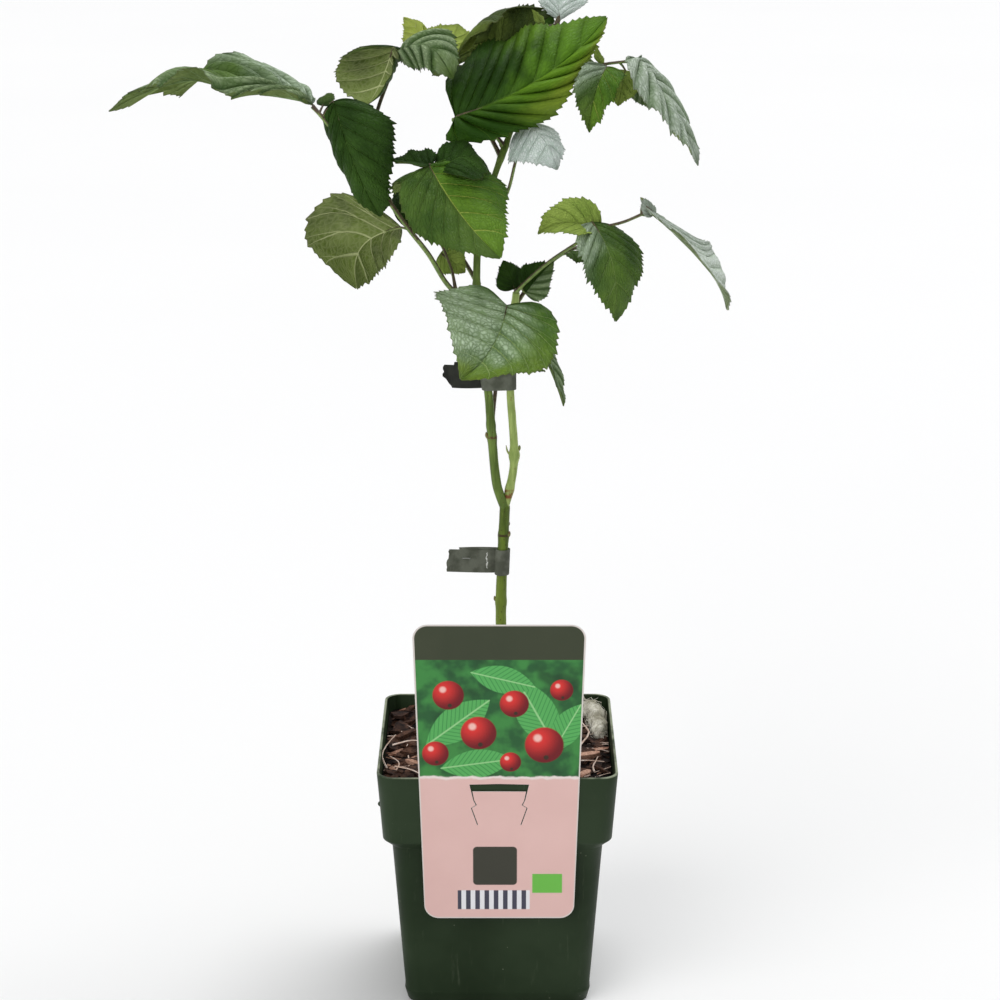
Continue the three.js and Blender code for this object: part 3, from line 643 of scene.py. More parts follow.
@dataclass(frozen=True)
class TapeFinish:
    """Finish of the grey-green tape, woven fine and a little worn."""

    name: str
    light: Colour
    deep: Colour
    worn: Colour
    thread: float = 0.7
    crease: float = -5.8
    crease_heights: Pair = (236.0, 246.0)
    crease_colour: Colour = (225, 227, 221)

    def material(self) -> Material:
        """Material with crossed threads in relief and one ragged pale crease.

        Returns:
            The material.
        """
        graph = Graph(f"tape_{self.name}")
        x, _, z = graph.axes()
        turn = 2 * math.pi / self.thread
        weave = (x * turn).sine() * (z * turn).sine()
        colour = graph.mix(graph.noise(6.0, 3.0).ramp(0.35, 0.65), self.light, self.deep)
        colour = graph.mix(graph.noise(1.2, 4.0, 0.6, (1, 1, 0.2)).ramp(0.62, 0.75) * 0.35, colour, self.worn)
        low, high = self.crease_heights
        ragged = abs(x - self.crease + (graph.noise(1.6, 3.0) - 0.5) * 2.4).ramp(0.36, 0.16)
        ragged = ragged * z.ramp(low, low + 1.0) * z.ramp(high, high - 1.0)
        colour = graph.mix(ragged, colour, self.crease_colour)
        relief = graph.bump(weave * 0.3 + graph.noise(2.5, 3.0), 0.16)
        return graph.finish(colour, 0.5 + 0.2 * graph.noise(3.0), relief, 0.25)


TAPE = TapeFinish("pale", (104, 108, 96), (80, 84, 72), (140, 142, 132))
# Painted shadow: the upper tie's tail is near black because it lies in the shade behind a leaf.
TAPE_SHADOW = TapeFinish("dark", (42, 44, 38), (26, 28, 24), (78, 80, 74))


@dataclass(frozen=True)
class PlainFinish:
    """Finish of two close colours with a fine grain: the staple's steel and the label's back."""

    name: str
    base: Colour
    cloud: Colour
    cloud_size: float
    roughness: float
    rough_share: float
    rough_size: float
    grain: float
    depth: float

    def material(self) -> Material:
        """Material with faint clouds and grain.

        Returns:
            The material.
        """
        graph = Graph(self.name)
        colour = graph.mix(graph.noise(self.cloud_size), self.base, self.cloud)
        rough = self.roughness + self.rough_share * graph.noise(self.rough_size)
        return graph.finish(colour, rough, graph.bump(graph.noise(self.grain), self.depth))


STEEL = PlainFinish("staple_steel", (176, 178, 174), (120, 122, 120), 1.0, 0.3, 0.2, 0.8, 0.3, 0.02)
CARD = PlainFinish("label_card", (228, 224, 220), (206, 202, 198), 12.0, 0.42, 0.1, 5.0, 0.8, 0.03)


@dataclass(frozen=True)
class PrintedFruit:
    """One round red fruit in the label's picture."""

    x: float
    height: float
    radius: float


@dataclass(frozen=True)
class PrintedLeaf:
    """One leaf in the label's picture: middle, half sizes and turn in degrees."""

    x: float
    height: float
    half_long: float
    half_wide: float
    turn: float


@dataclass(frozen=True)
class Panel:
    """A plain block of print: middle, half sizes and corner radius."""

    x: float
    height: float
    half_wide: float
    half_high: float
    corner: float


def hypotenuse(one: Value, other: Value) -> Value:
    """Length of a flat vector."""
    return (one ** 2 + other ** 2) ** 0.5


@dataclass(frozen=True)
class PrintFinish:
    """Finish of the label's face: a bare header, a generic berry picture and a plain lower half."""

    label: "Label"
    lean: float

    @staticmethod
    def past_corner(x: Value, height: Value, half_wide: Term, half_high: float, corner: float) -> Value:
        """Distance past the middles of the round corners of a block.

        Args:
            x: Place across, from the block's middle.
            height: Height from the block's middle.
            half_wide: Half its width.
            half_high: Half its height.
            corner: Radius of its corners.

        Returns:
            The distance, which is the corner's radius on the block's edge.
        """
        across = (abs(x) - (half_wide - corner)).most(0.0)
        return hypotenuse(across, (abs(height) - (half_high - corner)).most(0.0))

    def block(self, x: Value, height: Value, panel: Panel) -> Value:
        """Mask of a block with round corners.

        Args:
            x: Place across.
            height: Height from the rim.
            panel: The block.

        Returns:
            The mask.
        """
        distance = self.past_corner(
            x - panel.x, height - panel.height, panel.half_wide, panel.half_high, panel.corner)
        return distance.ramp(panel.corner + self.label.print_edge, panel.corner - self.label.print_edge)

    def picture(self, graph: Graph, x: Value, height: Value) -> Socket:
        """Colour of the picture: soft greenery, leaves and round red fruits.

        Args:
            graph: The material's graph.
            x: Place across.
            height: Height from the rim.

        Returns:
            The colour.
        """
        colour = graph.mix(graph.noise(9.0, 2.0).ramp(0.35, 0.65), (36, 92, 48), (62, 138, 66))
        colour = graph.mix(graph.noise(17.0, 2.0).ramp(0.5, 0.68) * 0.7, colour, (24, 62, 34))
        for leaf in self.label.leaves:
            turn = math.radians(leaf.turn)
            over, above = x - leaf.x, height - leaf.height
            along = over * math.cos(turn) + above * math.sin(turn)
            aside = abs(above * math.cos(turn) - over * math.sin(turn))
            spread = aside / leaf.half_wide
            ribs = ((along - aside * 0.9) * 2.2).sine().ramp(0.55, 0.95)
            tone = graph.mix(ribs * 0.6, (88, 176, 92), (40, 120, 62))
            tone = graph.mix(spread.ramp(0.07, 0.02), tone, (150, 208, 140))
            colour = graph.mix(((along / leaf.half_long) ** 2 + spread).ramp(1.0, 0.94), colour, tone)
        for fruit in self.label.fruits:
            over = (x - fruit.x) / fruit.radius
            above = (height - fruit.height) / fruit.radius
            lit = hypotenuse(over + 0.35, above - 0.4)
            tone = graph.mix(lit.ramp(1.35, 0.1), (112, 14, 24), (226, 52, 48))
            tone = graph.mix(lit.ramp(0.3, 0.12) * 0.8, tone, (255, 214, 204))
            tone = graph.mix(hypotenuse(over - 0.1, above + 0.72).ramp(0.17, 0.1), tone, (60, 40, 26))
            colour = graph.mix(hypotenuse(over, above).ramp(1.06, 0.97), colour, tone)
        return colour

    def material(self) -> Material:
        """Material of the whole face, with a pale trimmed edge and a satin varnish.

        Returns:
            The material.
        """
        graph = Graph("label_print")
        label, card = self.label, self.label.outline
        x_all, _, z = graph.axes()
        x = x_all - label.middle
        height = (z - label.pot.height) / math.cos(self.lean)
        from_picture = height - (graph.noise(6.0, 3.0) * 3.0 - 1.5) - label.picture_foot
        colour = graph.mix(graph.noise(30.0, 2.0), (234, 196, 190), (224, 184, 178))
        bars = ((x - label.stripe_panel.x) * 1.25).sine().ramp(-0.1, 0.1)
        stripes = graph.mix(bars, (236, 236, 240), (70, 70, 86))
        for panel, ink in ((label.stripe_panel, stripes), (label.green_panel, (110, 190, 76)),
                           (label.dark_panel, (60, 60, 50))):
            colour = graph.mix(self.block(x, height, panel), colour, ink)
        colour = graph.mix(from_picture.ramp(-0.7, 0.7), colour, (240, 226, 222))
        colour = graph.mix(from_picture.ramp(0.9, 1.9), colour, self.picture(graph, x, height))
        header = (height - label.header_foot).ramp(-0.15, 0.15)
        colour = graph.mix(header, colour, graph.mix(graph.noise(20.0), (52, 60, 40), (62, 68, 48)))
        slope = (card.top_half - card.foot_half) / (card.top - card.foot)
        distance = self.past_corner(
            x, height - (card.top + card.foot) / 2, (height - card.foot) * slope + card.foot_half,
            (card.top - card.foot) / 2, card.corner)
        colour = graph.mix(distance.ramp(card.corner - 0.9, card.corner - 0.5), colour, (222, 214, 208))
        relief = graph.bump(graph.noise(18.0, 2.0), 0.25)
        return graph.finish(colour, 0.32 + 0.1 * graph.noise(7.0), relief, 0.3)


class SmoothPath:
    """Centripetal Catmull-Rom curve through points, read by its length."""

    SAMPLES = 200

    def __init__(self, points: Rows) -> None:
        """Samples the curve densely enough to walk along it.

        Args:
            points: Points that it passes through.
        """
        given = np.asarray(points, float)
        self.knots = np.vstack([2 * given[0] - given[1], given, 2 * given[-1] - given[-2]])
        self.spans = len(given) - 1
        self.dense = np.array([self._by_parameter(step) for step in np.linspace(0, 1, self.SAMPLES + 1)])
        lengths = np.linalg.norm(np.diff(self.dense, axis=0), axis=1)
        self.walked = np.concatenate([[0.0], np.cumsum(lengths)])
        self.length = float(self.walked[-1])

    def _by_parameter(self, share: float) -> Array:
        """Point at a share of the curve's parameter.

        Args:
            share: The share, from 0 to 1.

        Returns:
            The point.
        """
        place = self.spans * share
        index = min(int(place), self.spans - 1)
        weight = place - index
        first, start, end, last = self.knots[index:index + 4]
        before, gap, after = (
            np.sum((b - a) ** 2) ** 0.25 for a, b in ((first, start), (start, end), (end, last)))
        leave = gap * ((start - first) / before - (end - first) / (before + gap) + (end - start) / gap)
        arrive = gap * ((end - start) / gap - (last - start) / (gap + after) + (last - end) / after)
        square = -3 * start + 3 * end - 2 * leave - arrive
        cube = 2 * start - 2 * end + leave + arrive
        return start + leave * weight + square * weight ** 2 + cube * weight ** 3

    def at(self, shares: Array | float) -> Array:
        """Points at shares of the curve's length."""
        walked = np.asarray(shares, float) * self.length
        return np.stack([np.interp(walked, self.walked, self.dense[:, axis]) for axis in range(3)], axis=-1)


def place(name: str, data: bpy.types.ID) -> Object:
    """Adds an object that holds the data to the scene.

    Args:
        name: Name of the object.
        data: Mesh, curve, camera or light that it holds.

    Returns:
        The object.
    """
    made = bpy.data.objects.new(name, data)
    bpy.context.scene.collection.objects.link(made)
    return made


def baked(piece: Object) -> bpy.types.Mesh:
    """Plain mesh of an object as its modifiers leave it."""
    graph = bpy.context.evaluated_depsgraph_get()
    return bpy.data.meshes.new_from_object(piece.evaluated_get(graph), depsgraph=graph)


class Shape:
    """Closed bodies in millimetres, gathered into one mesh."""

    def __init__(self) -> None:
        """Starts empty."""
        self.points: list[Array] = []
        self.charts: list[Array] = []
        self.faces: list[tuple[int, ...]] = []
        self.slots: list[int] = []
        self.count = 0

    def add(self, points: Array, faces: Faces, slots: Sequence[int] | int = 0) -> "Shape":
        """Adds points and faces that already face outwards.

        Args:
            points: Corners, one a row.
            faces: Corner numbers of each face.
            slots: Material number of each face, or one for all.

        Returns:
            The shape itself.
        """
        self.points.append(points)
        self.faces.extend(tuple(int(corner) + self.count for corner in face) for face in faces)
        self.slots.extend([slots] * len(faces) if isinstance(slots, int) else slots)
        self.count += len(points)
        return self

    def body(self, points: Array, faces: Faces, slots: Sequence[int] | int = 0) -> "Shape":
        """Adds one closed body and turns its faces outwards.

        Args:
            points: Corners, one a row.
            faces: Corner numbers of each face.
            slots: Material number of each face, or one for all.

        Returns:
            The shape itself.
        """
        centred = points - points.mean(axis=0)
        volume = 0.0
        for face in faces:
            first = centred[face[0]]
            for second, third in zip(face[1:-1], face[2:]):
                volume += np.dot(first, np.cross(centred[second], centred[third]))
        return self.add(points, [face[::-1] for face in faces] if volume < 0 else faces, slots)

    def loft(self, rings: Sequence, slots: Sequence[int] | int = 0) -> "Shape":
        """Adds a closed body through rings of points, with a flat end at each side.

        Args:
            rings: The rings, each with the same number of points.
            slots: Material number of each face, with those of the ends last, or one for all.

        Returns:
            The shape itself.
        """
        rings = np.asarray(rings, float)
        count, sides, _ = rings.shape
        ends = [tuple(reversed(range(sides))), tuple(range((count - 1) * sides, count * sides))]
        return self.body(rings.reshape(-1, 3), ring_faces(count, sides) + ends, slots)

    def join(self, other: "Shape") -> None:
        """Adds all of another shape."""
        self.add(np.vstack(other.points), other.faces, other.slots)

    def build(self, name: str, materials: Sequence[Material] = (), sharp: float = 50.0) -> Object:
        """Makes the mesh object.

        Args:
            name: Name of the object.
            materials: Materials in slot order.
            sharp: Angle in degrees past which an edge shades sharp.

        Returns:
            The new object, at the origin.
        """
        mesh = bpy.data.meshes.new(name)
        mesh.from_pydata((np.vstack(self.points) * MM).tolist(), [], self.faces)
        for material in materials:
            mesh.materials.append(material)
        mesh.polygons.foreach_set("material_index", self.slots)
        if self.charts:
            stored = mesh.attributes.new(CHART, "FLOAT_VECTOR", "POINT")
            stored.data.foreach_set("vector", np.vstack(self.charts).ravel())
        mesh.shade_smooth()
        mesh.set_sharp_from_angle(angle=math.radians(sharp))
        return place(name, mesh)


def ring_faces(rings: int, sides: int) -> list[tuple[int, ...]]:
    """Quads between closed rings of points.

    Args:
        rings: Number of rings.
        sides: Points in each ring.

    Returns:
        Corner numbers of each quad.
    """
    return [(start + side, start + (side + 1) % sides,
             start + sides + (side + 1) % sides, start + sides + side)
            for start in range(0, (rings - 1) * sides, sides) for side in range(sides)]


def slab_faces(rows: int, columns: int) -> tuple[list[list[int]], int]:
    """Faces of a closed slab, whose front points in rows are followed by its back ones.

    Args:
        rows: Rows of points on a side.
        columns: Points in a row.

    Returns:
        Corner numbers, those of the front, the back and the rim in turn, and the number of faces on a side.
    """
    grid = np.arange(rows * columns).reshape(rows, columns)
    front = np.stack([grid[:-1, :-1], grid[:-1, 1:], grid[1:, 1:], grid[1:, :-1]], axis=-1).reshape(-1, 4)
    rim = np.concatenate([grid[0], grid[1:, -1], grid[-1, -2::-1], grid[-2:0:-1, 0]])
    ahead = np.roll(rim, -1)
    sides = np.stack([ahead, rim, rim + grid.size, ahead + grid.size], axis=-1)
    return np.vstack([front, front[:, ::-1] + grid.size, sides]).tolist(), len(front)


def tube_rings(
    path: SmoothPath, places: Array | int, sides: int, radius_at: Callable[[float], float],
    relief: Draw | None = None,
) -> Array:
    """Rings of points round a path.

    Args:
        path: Axis of the tube.
        places: Shares of the length that have a ring, or the number of even stretches.
        sides: Points in each ring.
        radius_at: Radius at a share of the length.
        relief: What the radius grows by at a share of the length and a turn.

    Returns:
        Array of rings of points.
    """
    shares = np.linspace(0, 1, places + 1) if isinstance(places, int) else places
    centres = path.at(shares)
    tangents = unit_rows(np.gradient(centres, axis=0))
    side = unit(np.cross(tangents[0], UP if abs(tangents[0] @ UP) < 0.9 else np.array([1.0, 0.0, 0.0])))
    rings = np.empty((len(shares), sides, 3))
    for index, share in enumerate(shares):
        tangent = tangents[index]
        side = unit(side - tangent * (side @ tangent))
        other = np.cross(tangent, side)
        for corner, turn in enumerate(circle(sides)):
            radius = radius_at(share) + (relief(share, turn) if relief else 0.0)
            rings[index, corner] = centres[index] + radius * (math.cos(turn) * side + math.sin(turn) * other)
    return rings


@dataclass(frozen=True)
class Strewing:
    """How a kind of small thing is strewn: points a square metre, sizes, turns in radians and finish."""

    density: float
    smallest: float
    largest: float
    least_turn: Point
    most_turn: Point
    seed: int
    material: Material


class Scatter(NodeTree):
    """Geometry Nodes tree that strews the shapes of a collection over a surface."""

    INPUTS = {
        "surface": "Geometry", "shapes": "Collection", "last_shape": "Int", "density": "Float",
        "smallest": "Float", "largest": "Float", "least_turn": "Vector", "most_turn": "Vector",
        "seed": "Int", "material": "Material"}
    RANDOM_KINDS = ("FLOAT_VECTOR", "FLOAT", "INT")
    RANDOM_SEED = 8

    def __init__(self, name: str) -> None:
        """Builds the tree with named inputs: points on faces, and a random shape, turn and size on each.

        Args:
            name: Name of the tree.
        """
        super().__init__(bpy.data.node_groups.new(name, "GeometryNodeTree"))
        sockets = self.tree.interface
        self.keys = {
            name: sockets.new_socket(name, in_out="INPUT", socket_type=f"NodeSocket{kind}").identifier
            for name, kind in self.INPUTS.items()}
        sockets.new_socket("Geometry", in_out="OUTPUT", socket_type="NodeSocketGeometry")
        self.given = self.node("NodeGroupInput").outputs
        given = self.given
        spread = self.node("GeometryNodeDistributePointsOnFaces", {
            "Mesh": given["surface"], "Density": given["density"], "Seed": given["seed"]}).outputs
        shapes = self.node("GeometryNodeCollectionInfo", {
            "Collection": given["shapes"], "Separate Children": True, "Reset Children": True})
        euler = self.node("FunctionNodeEulerToRotation", {
            0: self._random("FLOAT_VECTOR", given["least_turn"], given["most_turn"])})
        turned = self.node("FunctionNodeRotateRotation", {
            0: spread["Rotation"], 1: euler.outputs[0]}, rotation_space="LOCAL")
        placed = self.node("GeometryNodeInstanceOnPoints", {
            "Points": spread["Points"], "Instance": shapes.outputs[0], "Pick Instance": True,
            "Instance Index": self._random("INT", 0, given["last_shape"]), "Rotation": turned.outputs[0],
            "Scale": self._random("FLOAT", given["smallest"], given["largest"])})
        real = self.node("GeometryNodeRealizeInstances", {"Geometry": placed.outputs["Instances"]})
        dressed = self.node("GeometryNodeSetMaterial", {
            "Geometry": real.outputs[0], "Material": given["material"]})
        self.node("NodeGroupOutput", {0: dressed.outputs[0]})

    def _random(self, kind: str, least: Socket | int, most: Socket) -> Socket:
        """A random value of one kind between two limits.

        Args:
            kind: Kind of value.
            least: Lower limit.
            most: Upper limit.

        Returns:
            Its socket.
        """
        row = self.RANDOM_KINDS.index(kind)
        inputs = {2 * row: least, 2 * row + 1: most, self.RANDOM_SEED: self.given["seed"]}
        return self.node("FunctionNodeRandomValue", inputs, data_type=kind).outputs[row]

    def bake(self, name: str, surface: Object, shapes: Sequence[Object], settings: Strewing) -> Object:
        """Strews the shapes over a surface as one plain mesh.

        Args:
            name: Name of the new object.
            surface: Object whose faces they lie on.
            shapes: Shapes to choose from, which are removed afterwards.
            settings: How many, how large and how turned.

        Returns:
            The new object, with no modifier.
        """
        kinds = bpy.data.collections.new(f"{name}_kinds")
        bpy.context.scene.collection.children.link(kinds)
        for shape in shapes:
            bpy.context.scene.collection.objects.unlink(shape)
            kinds.objects.link(shape)
        modifier = surface.modifiers.new("Strew", "NODES")
        modifier.node_group = self.tree
        for key, value in {"shapes": kinds, "last_shape": len(shapes) - 1, **vars(settings)}.items():
            modifier[self.keys[key]] = value
        mesh = baked(surface)
        surface.modifiers.remove(modifier)
        mesh.name = name
        for shape in shapes:
            bpy.data.objects.remove(shape)
        bpy.data.collections.remove(kinds)
        return place(name, mesh)


def dress(piece: Object, slot: str, *nodes: str) -> None:
    """Seats a piece on the part's body, hides the solids that it stands for and logs its triangles.

    Args:
        piece: The finished object.
        slot: Material slot; not used.
        nodes: Solids that the piece replaces.
    """
    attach(piece, ROOT)
    if nodes:
        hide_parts(*nodes)
    piece.data.calc_loop_triangles()
    LOG.info("%s: %d triangles", piece.name, len(piece.data.loop_triangles))


@dataclass(frozen=True)
class Leaflet:
    """One leaflet: its midrib's ends, full width, upper side, tones and bends in degrees and millimetres.

    The twist is how far the outer half is rolled past the inner one.
    """

    base: Point
    tip: Point
    wide: float
    face: Point
    tone: Tone = Tone.MID
    right_tone: Tone | None = None
    arch: float = 6.0
    sweep: float = 0.0
    fold: float = 12.0
    curl: float = 20.0
    cord: float = 0.06
    broad: float = 0.34
    lean: float = 0.0
    roll: float = 0.0
    twist: float = 0.0
    skew: float = 0.0
    origin: Point | None = None
    swell: float = 1.0
    ruffle: float = 1.0
    heart: Pair = (5.0, 40.0)


class Blade:
    """Surface of a leaflet. Its point (u, v) lies on the vein that leaves the midrib at u."""

    OUT_POWER = 0.72
    FULL_POWER = 0.9
    FLAT_EDGE = 0.15
    TWIST_RANGE = (0.42, 0.66)

    def __init__(self, form: Leaflet) -> None:
        """Works out the leaflet's own axes.

        Args:
            form: The leaflet.
        """
        self.form = form
        self.start = np.asarray(form.base, float)
        chord = np.asarray(form.tip, float) - self.start
        self.long = float(np.linalg.norm(chord))
        self.chord = chord / self.long
        face = unit(form.face)
        self.up = unit(face - self.chord * (face @ self.chord))
        self.right = np.cross(self.chord, self.up)

    def midrib(self, u: Array) -> tuple[Array, Array, Array, Array]:
        """Points of the midrib with the directions along, aside and above.

        Args:
            u: Shares of the length.

        Returns:
            Point, along, side and normal for each share.
        """
        form = self.form
        u = np.asarray(u, float)[..., None]
        bow = 4 * u * (1 - u)
        slope = 4 * (1 - 2 * u)
        bend = self.up * form.arch + self.right * form.sweep
        point = self.start + self.chord * self.long * u + bend * bow
        along = unit_rows(self.chord * self.long + bend * slope)
        side = unit_rows(self.right - along * np.sum(self.right * along, axis=-1, keepdims=True))
        normal = np.cross(side, along)
        start, end = self.TWIST_RANGE
        turned = np.clip((u - start) / (end - start), 0, 1)
        roll = np.radians(form.roll + form.twist * turned ** 2 * (3 - 2 * turned))
        turned_side = side * np.cos(roll) + normal * np.sin(roll)
        return point, along, turned_side, normal * np.cos(roll) - side * np.sin(roll)

    def at(self, u: Array, v: Array) -> tuple[Array, Array, Array, Array, Array]:
        """Points of the blade with their directions.

        Args:
            u: Shares of the length where each vein leaves the midrib.
            v: Places across, from -1 at the left margin to 1 at the right one.

        Returns:
            Point, across the thickness, outward, forward, and the share of full width there.
        """
        form = self.form
        hand = np.where(v >= 0, 1.0, -1.0)
        share = np.abs(v)
        out = u ** self.OUT_POWER
        near, nearest = form.heart
        margin_along = out - form.cord * ((1 - u) ** near - (1 - u) ** nearest)
        bulge = math.log(0.5) / math.log(form.broad)
        full = np.maximum(0.0, np.sin(np.pi * out ** bulge)) ** self.FULL_POWER
        radius = full * form.wide * share * (1 + hand * form.lean) / 2
        along_share = u + (margin_along - u) * share + form.skew * hand * radius / self.long
        point, forward, side, normal = self.midrib(along_share)
        angle = np.radians(form.fold - form.curl * share * np.minimum(1.0, full + self.FLAT_EDGE))
        cos, sin = np.cos(angle)[..., None], np.sin(angle)[..., None]
        outward = side * hand[..., None] * cos + normal * sin
        across = normal * cos - side * hand[..., None] * sin
        return point + outward * radius[..., None], across, outward, forward, full

    def cloud(self) -> Array:
        """Points spread over the blade, for finding out how near another piece is."""
        u, v = np.meshgrid(np.arange(9) / 8, [-1, -0.5, 0, 0.5, 1], indexing="ij")
        return self.at(u.ravel(), v.ravel())[0]


@dataclass
class LeafBuilder:
    """Builds leaflets finely by the blade's rule, each as a closed thin body.

    The sizes, in millimetres, are those of the veins, teeth, corrugation and thickness.
    """

    vein_spacing: float = 9.0
    vein_counts: tuple[int, int] = (5, 9)
    vein_power: float = 2.15
    shares: tuple[float, ...] = (0, 0.04, 0.11, 0.22, 0.34, 0.42, 0.52, 0.64, 0.73, 0.86, 0.96)
    teeth: tuple[float, ...] = (1.0, 0.7, 0.05, 0.2, 0.58, 0.12, 0.26, 0.68, 0.2, 0.5, 0.86)
    first_shares: tuple[float, ...] = (0, 0.15, 0.4, 0.7, 0.95)
    columns: tuple[float, ...] = (0, 0.035, 0.12, 0.24, 0.37, 0.5, 0.63, 0.75, 0.86, 0.94, 1.0)
    tooth_share: float = 0.34
    tooth_limits: Pair = (0.6, 3.2)
    tooth_middle: float = 0.42
    tooth_forward: float = 0.6
    tooth_slopes: Pair = (-2.5, 0.3)
    edge_start: float = 0.66
    corrugation: float = 0.13
    ridge: float = 0.25
    midrib_ridge: float = 0.5
    groove: float = 0.12
    wave: float = 1.3
    wave_turns: float = 2.3
    lobe: float = 0.017
    thick: float = 0.36
    tip_margin: float = 0.006
    chart_step: int = 16
    finishes: list[tuple[Tone, Side]] = field(default_factory=list)

    def _finish(self, tone: Tone, side: Side) -> int:
        """Slot number of a tone's side.

        Args:
            tone: The tone.
            side: Its side.

        Returns:
            The number.
        """
        if (tone, side) not in self.finishes:
            self.finishes.append((tone, side))
        return self.finishes.index((tone, side))

    def _rows(self, blade: Blade, draw: random.Random) -> tuple[Array, ...]:
        """Rows along the leaflet.

        Args:
            blade: The leaflet's surface.
            draw: Source of the small differences.

        Returns:
            Shares of the length, teeth for both hands, bulges for both hands, vein lines and veins passed.
        """
        low, high = self.vein_counts
        veins = min(high, max(low, round(blade.long / self.vein_spacing)))
        marks = [0.0] + [(k + 0.35 + draw.uniform(-0.08, 0.08)) / (veins + 0.6) for k in range(veins)] + [1.0]
        rows = []
        tall = [1.0, 1.0]
        for index, (start, end) in enumerate(zip(marks[:-1], marks[1:])):
            places = self.shares if index else self.first_shares
            heights = self.teeth if index else [0.3] * len(places)
            amplitude = [draw.uniform(0.35, 1.5) for _ in range(2)]
            following = [draw.uniform(0.75, 1.2) for _ in range(2)]
            for place, height in zip(places, heights):
                swell = math.sin(math.pi * place) ** 0.8 if 0 < place < 1 else 0.0
                teeth = [height * side for side in (tall if place < 0.1 else following)]
                line = 1.0 if place == 0 and index > 0 else 0.0
                rows.append((start + (end - start) * place, teeth, [swell * side for side in amplitude], line,
                             index + place))
            tall = following
        rows.append((1.0, [1.0, 1.0], [0.0, 0.0], 0.0, veins + 1.0))
        shares, *rest = (np.array(column) for column in zip(*rows))
        return np.clip(shares, self.tip_margin, 1 - self.tip_margin), *rest

    def add(self, shape: Shape, form: Leaflet, seed: int) -> None:
        """Adds one leaflet to a shape.

        Args:
            shape: Shape that gathers the leaflets.
            form: The leaflet.
            seed: Seed of its small differences.
        """
        draw = random.Random(seed)
        blade = Blade(form)
        shares, teeth, bulges, lines, passed = self._rows(blade, draw)
        spread = np.array(self.columns)
        across = np.concatenate([-spread[:0:-1], spread])
        share, v = (grid.ravel() for grid in np.meshgrid(shares, across, indexing="ij"))
        hand = np.where(v >= 0, 1, 0)
        row = np.repeat(np.arange(len(shares)), len(across))
        side = np.abs(v)
        start = share ** self.vein_power
        u = start + (share - start) * side
        point, above, outward, forward, full = blade.at(u, v)
        spacing = blade.long / (np.count_nonzero(lines) + 1)

        edge = np.clip((side - self.edge_start) / (1 - self.edge_start), 0, 1) ** 2
        low, high = self.tooth_limits
        height = min(high, max(low, self.tooth_share * spacing))
        tooth = (teeth[row, hand] - self.tooth_middle) * height * edge * np.minimum(1.0, full * 3)
        half_widths = blade.at(shares, np.ones(len(shares)))[4] * form.wide / 2
        run = (shares + np.arange(len(shares)) * 1e-4) * blade.long
        slope = np.clip(np.gradient(half_widths, run), *self.tooth_slopes)
        heading = outward + (self.tooth_forward - slope[row])[:, None] * forward
        point = point + unit_rows(heading) * tooth[:, None]
        first, second = draw.uniform(0, 1), draw.uniform(0, 1)
        lobes = (np.sin(2 * math.pi * (1.4 * share + first + 0.37 * hand))
                 + 0.6 * np.sin(2 * math.pi * (3.1 * share + second + 0.21 * hand)))
        ends = np.minimum(1.0, full * 2)
        lobes *= self.lobe * blade.long * side ** 2 * ends
        point = point + outward * lobes[:, None]

        swell = (1 - np.exp(-side / 0.12)) * (1 - 0.6 * side ** 3) * np.minimum(1.0, full * 1.5)
        lift = bulges[row, hand] * swell * self.corrugation * spacing * form.swell
        phase = draw.uniform(0, 2 * math.pi)
        turns = self.wave_turns * draw.uniform(0.8, 1.25)
        ripple = np.sin(2 * math.pi * turns * share + phase + hand * 1.7) * side ** 3 * ends
        lift += ripple * self.wave * form.ruffle * min(1.0, blade.long / 60)

        small = min(1.0, blade.long / 40)
        line = lines[row] * (1 - side) ** 0.5 * (side > 0.001)
        rib = np.where(side < 0.001, 1 - 0.75 * u, 0.0)
        ridge = small * (self.ridge * line + self.midrib_ridge * rib)
        groove = small * self.groove * np.maximum(line, rib)
        front = point + above * (lift + self.thick / 2 - groove)[:, None]
        back = point + above * (lift - self.thick / 2 - ridge)[:, None]
        chart = np.stack([passed[row] + self.chart_step * (seed % 7), v, share], axis=-1)
        shape.charts.append(np.vstack([chart, chart]))

        faces, quads = slab_faces(len(shares), len(across))
        numbers = np.array([[self._finish(tone, side) for side in Side]
                            for tone in (form.tone, form.right_tone or form.tone)])
        is_right = (across[:-1] + across[1:] > 0).astype(int)
        slots = np.full(len(faces), numbers[0, 0])
        slots[:2 * quads] = np.tile(numbers[is_right], (len(shares) - 1, 1)).T.ravel()
        shape.body(np.vstack([front, back]), faces, slots.tolist())


@dataclass(frozen=True)
class Twig:
    """A leaf stalk: its path and its radius at the foot."""

    path: tuple[Point, ...]
    radius: float


@dataclass(frozen=True)
class Spray:
    """A leaf's stalks and leaflets, which stand for one mass of foliage."""

    node: str
    twigs: tuple[Twig, ...]
    leaves: tuple[Leaflet, ...]


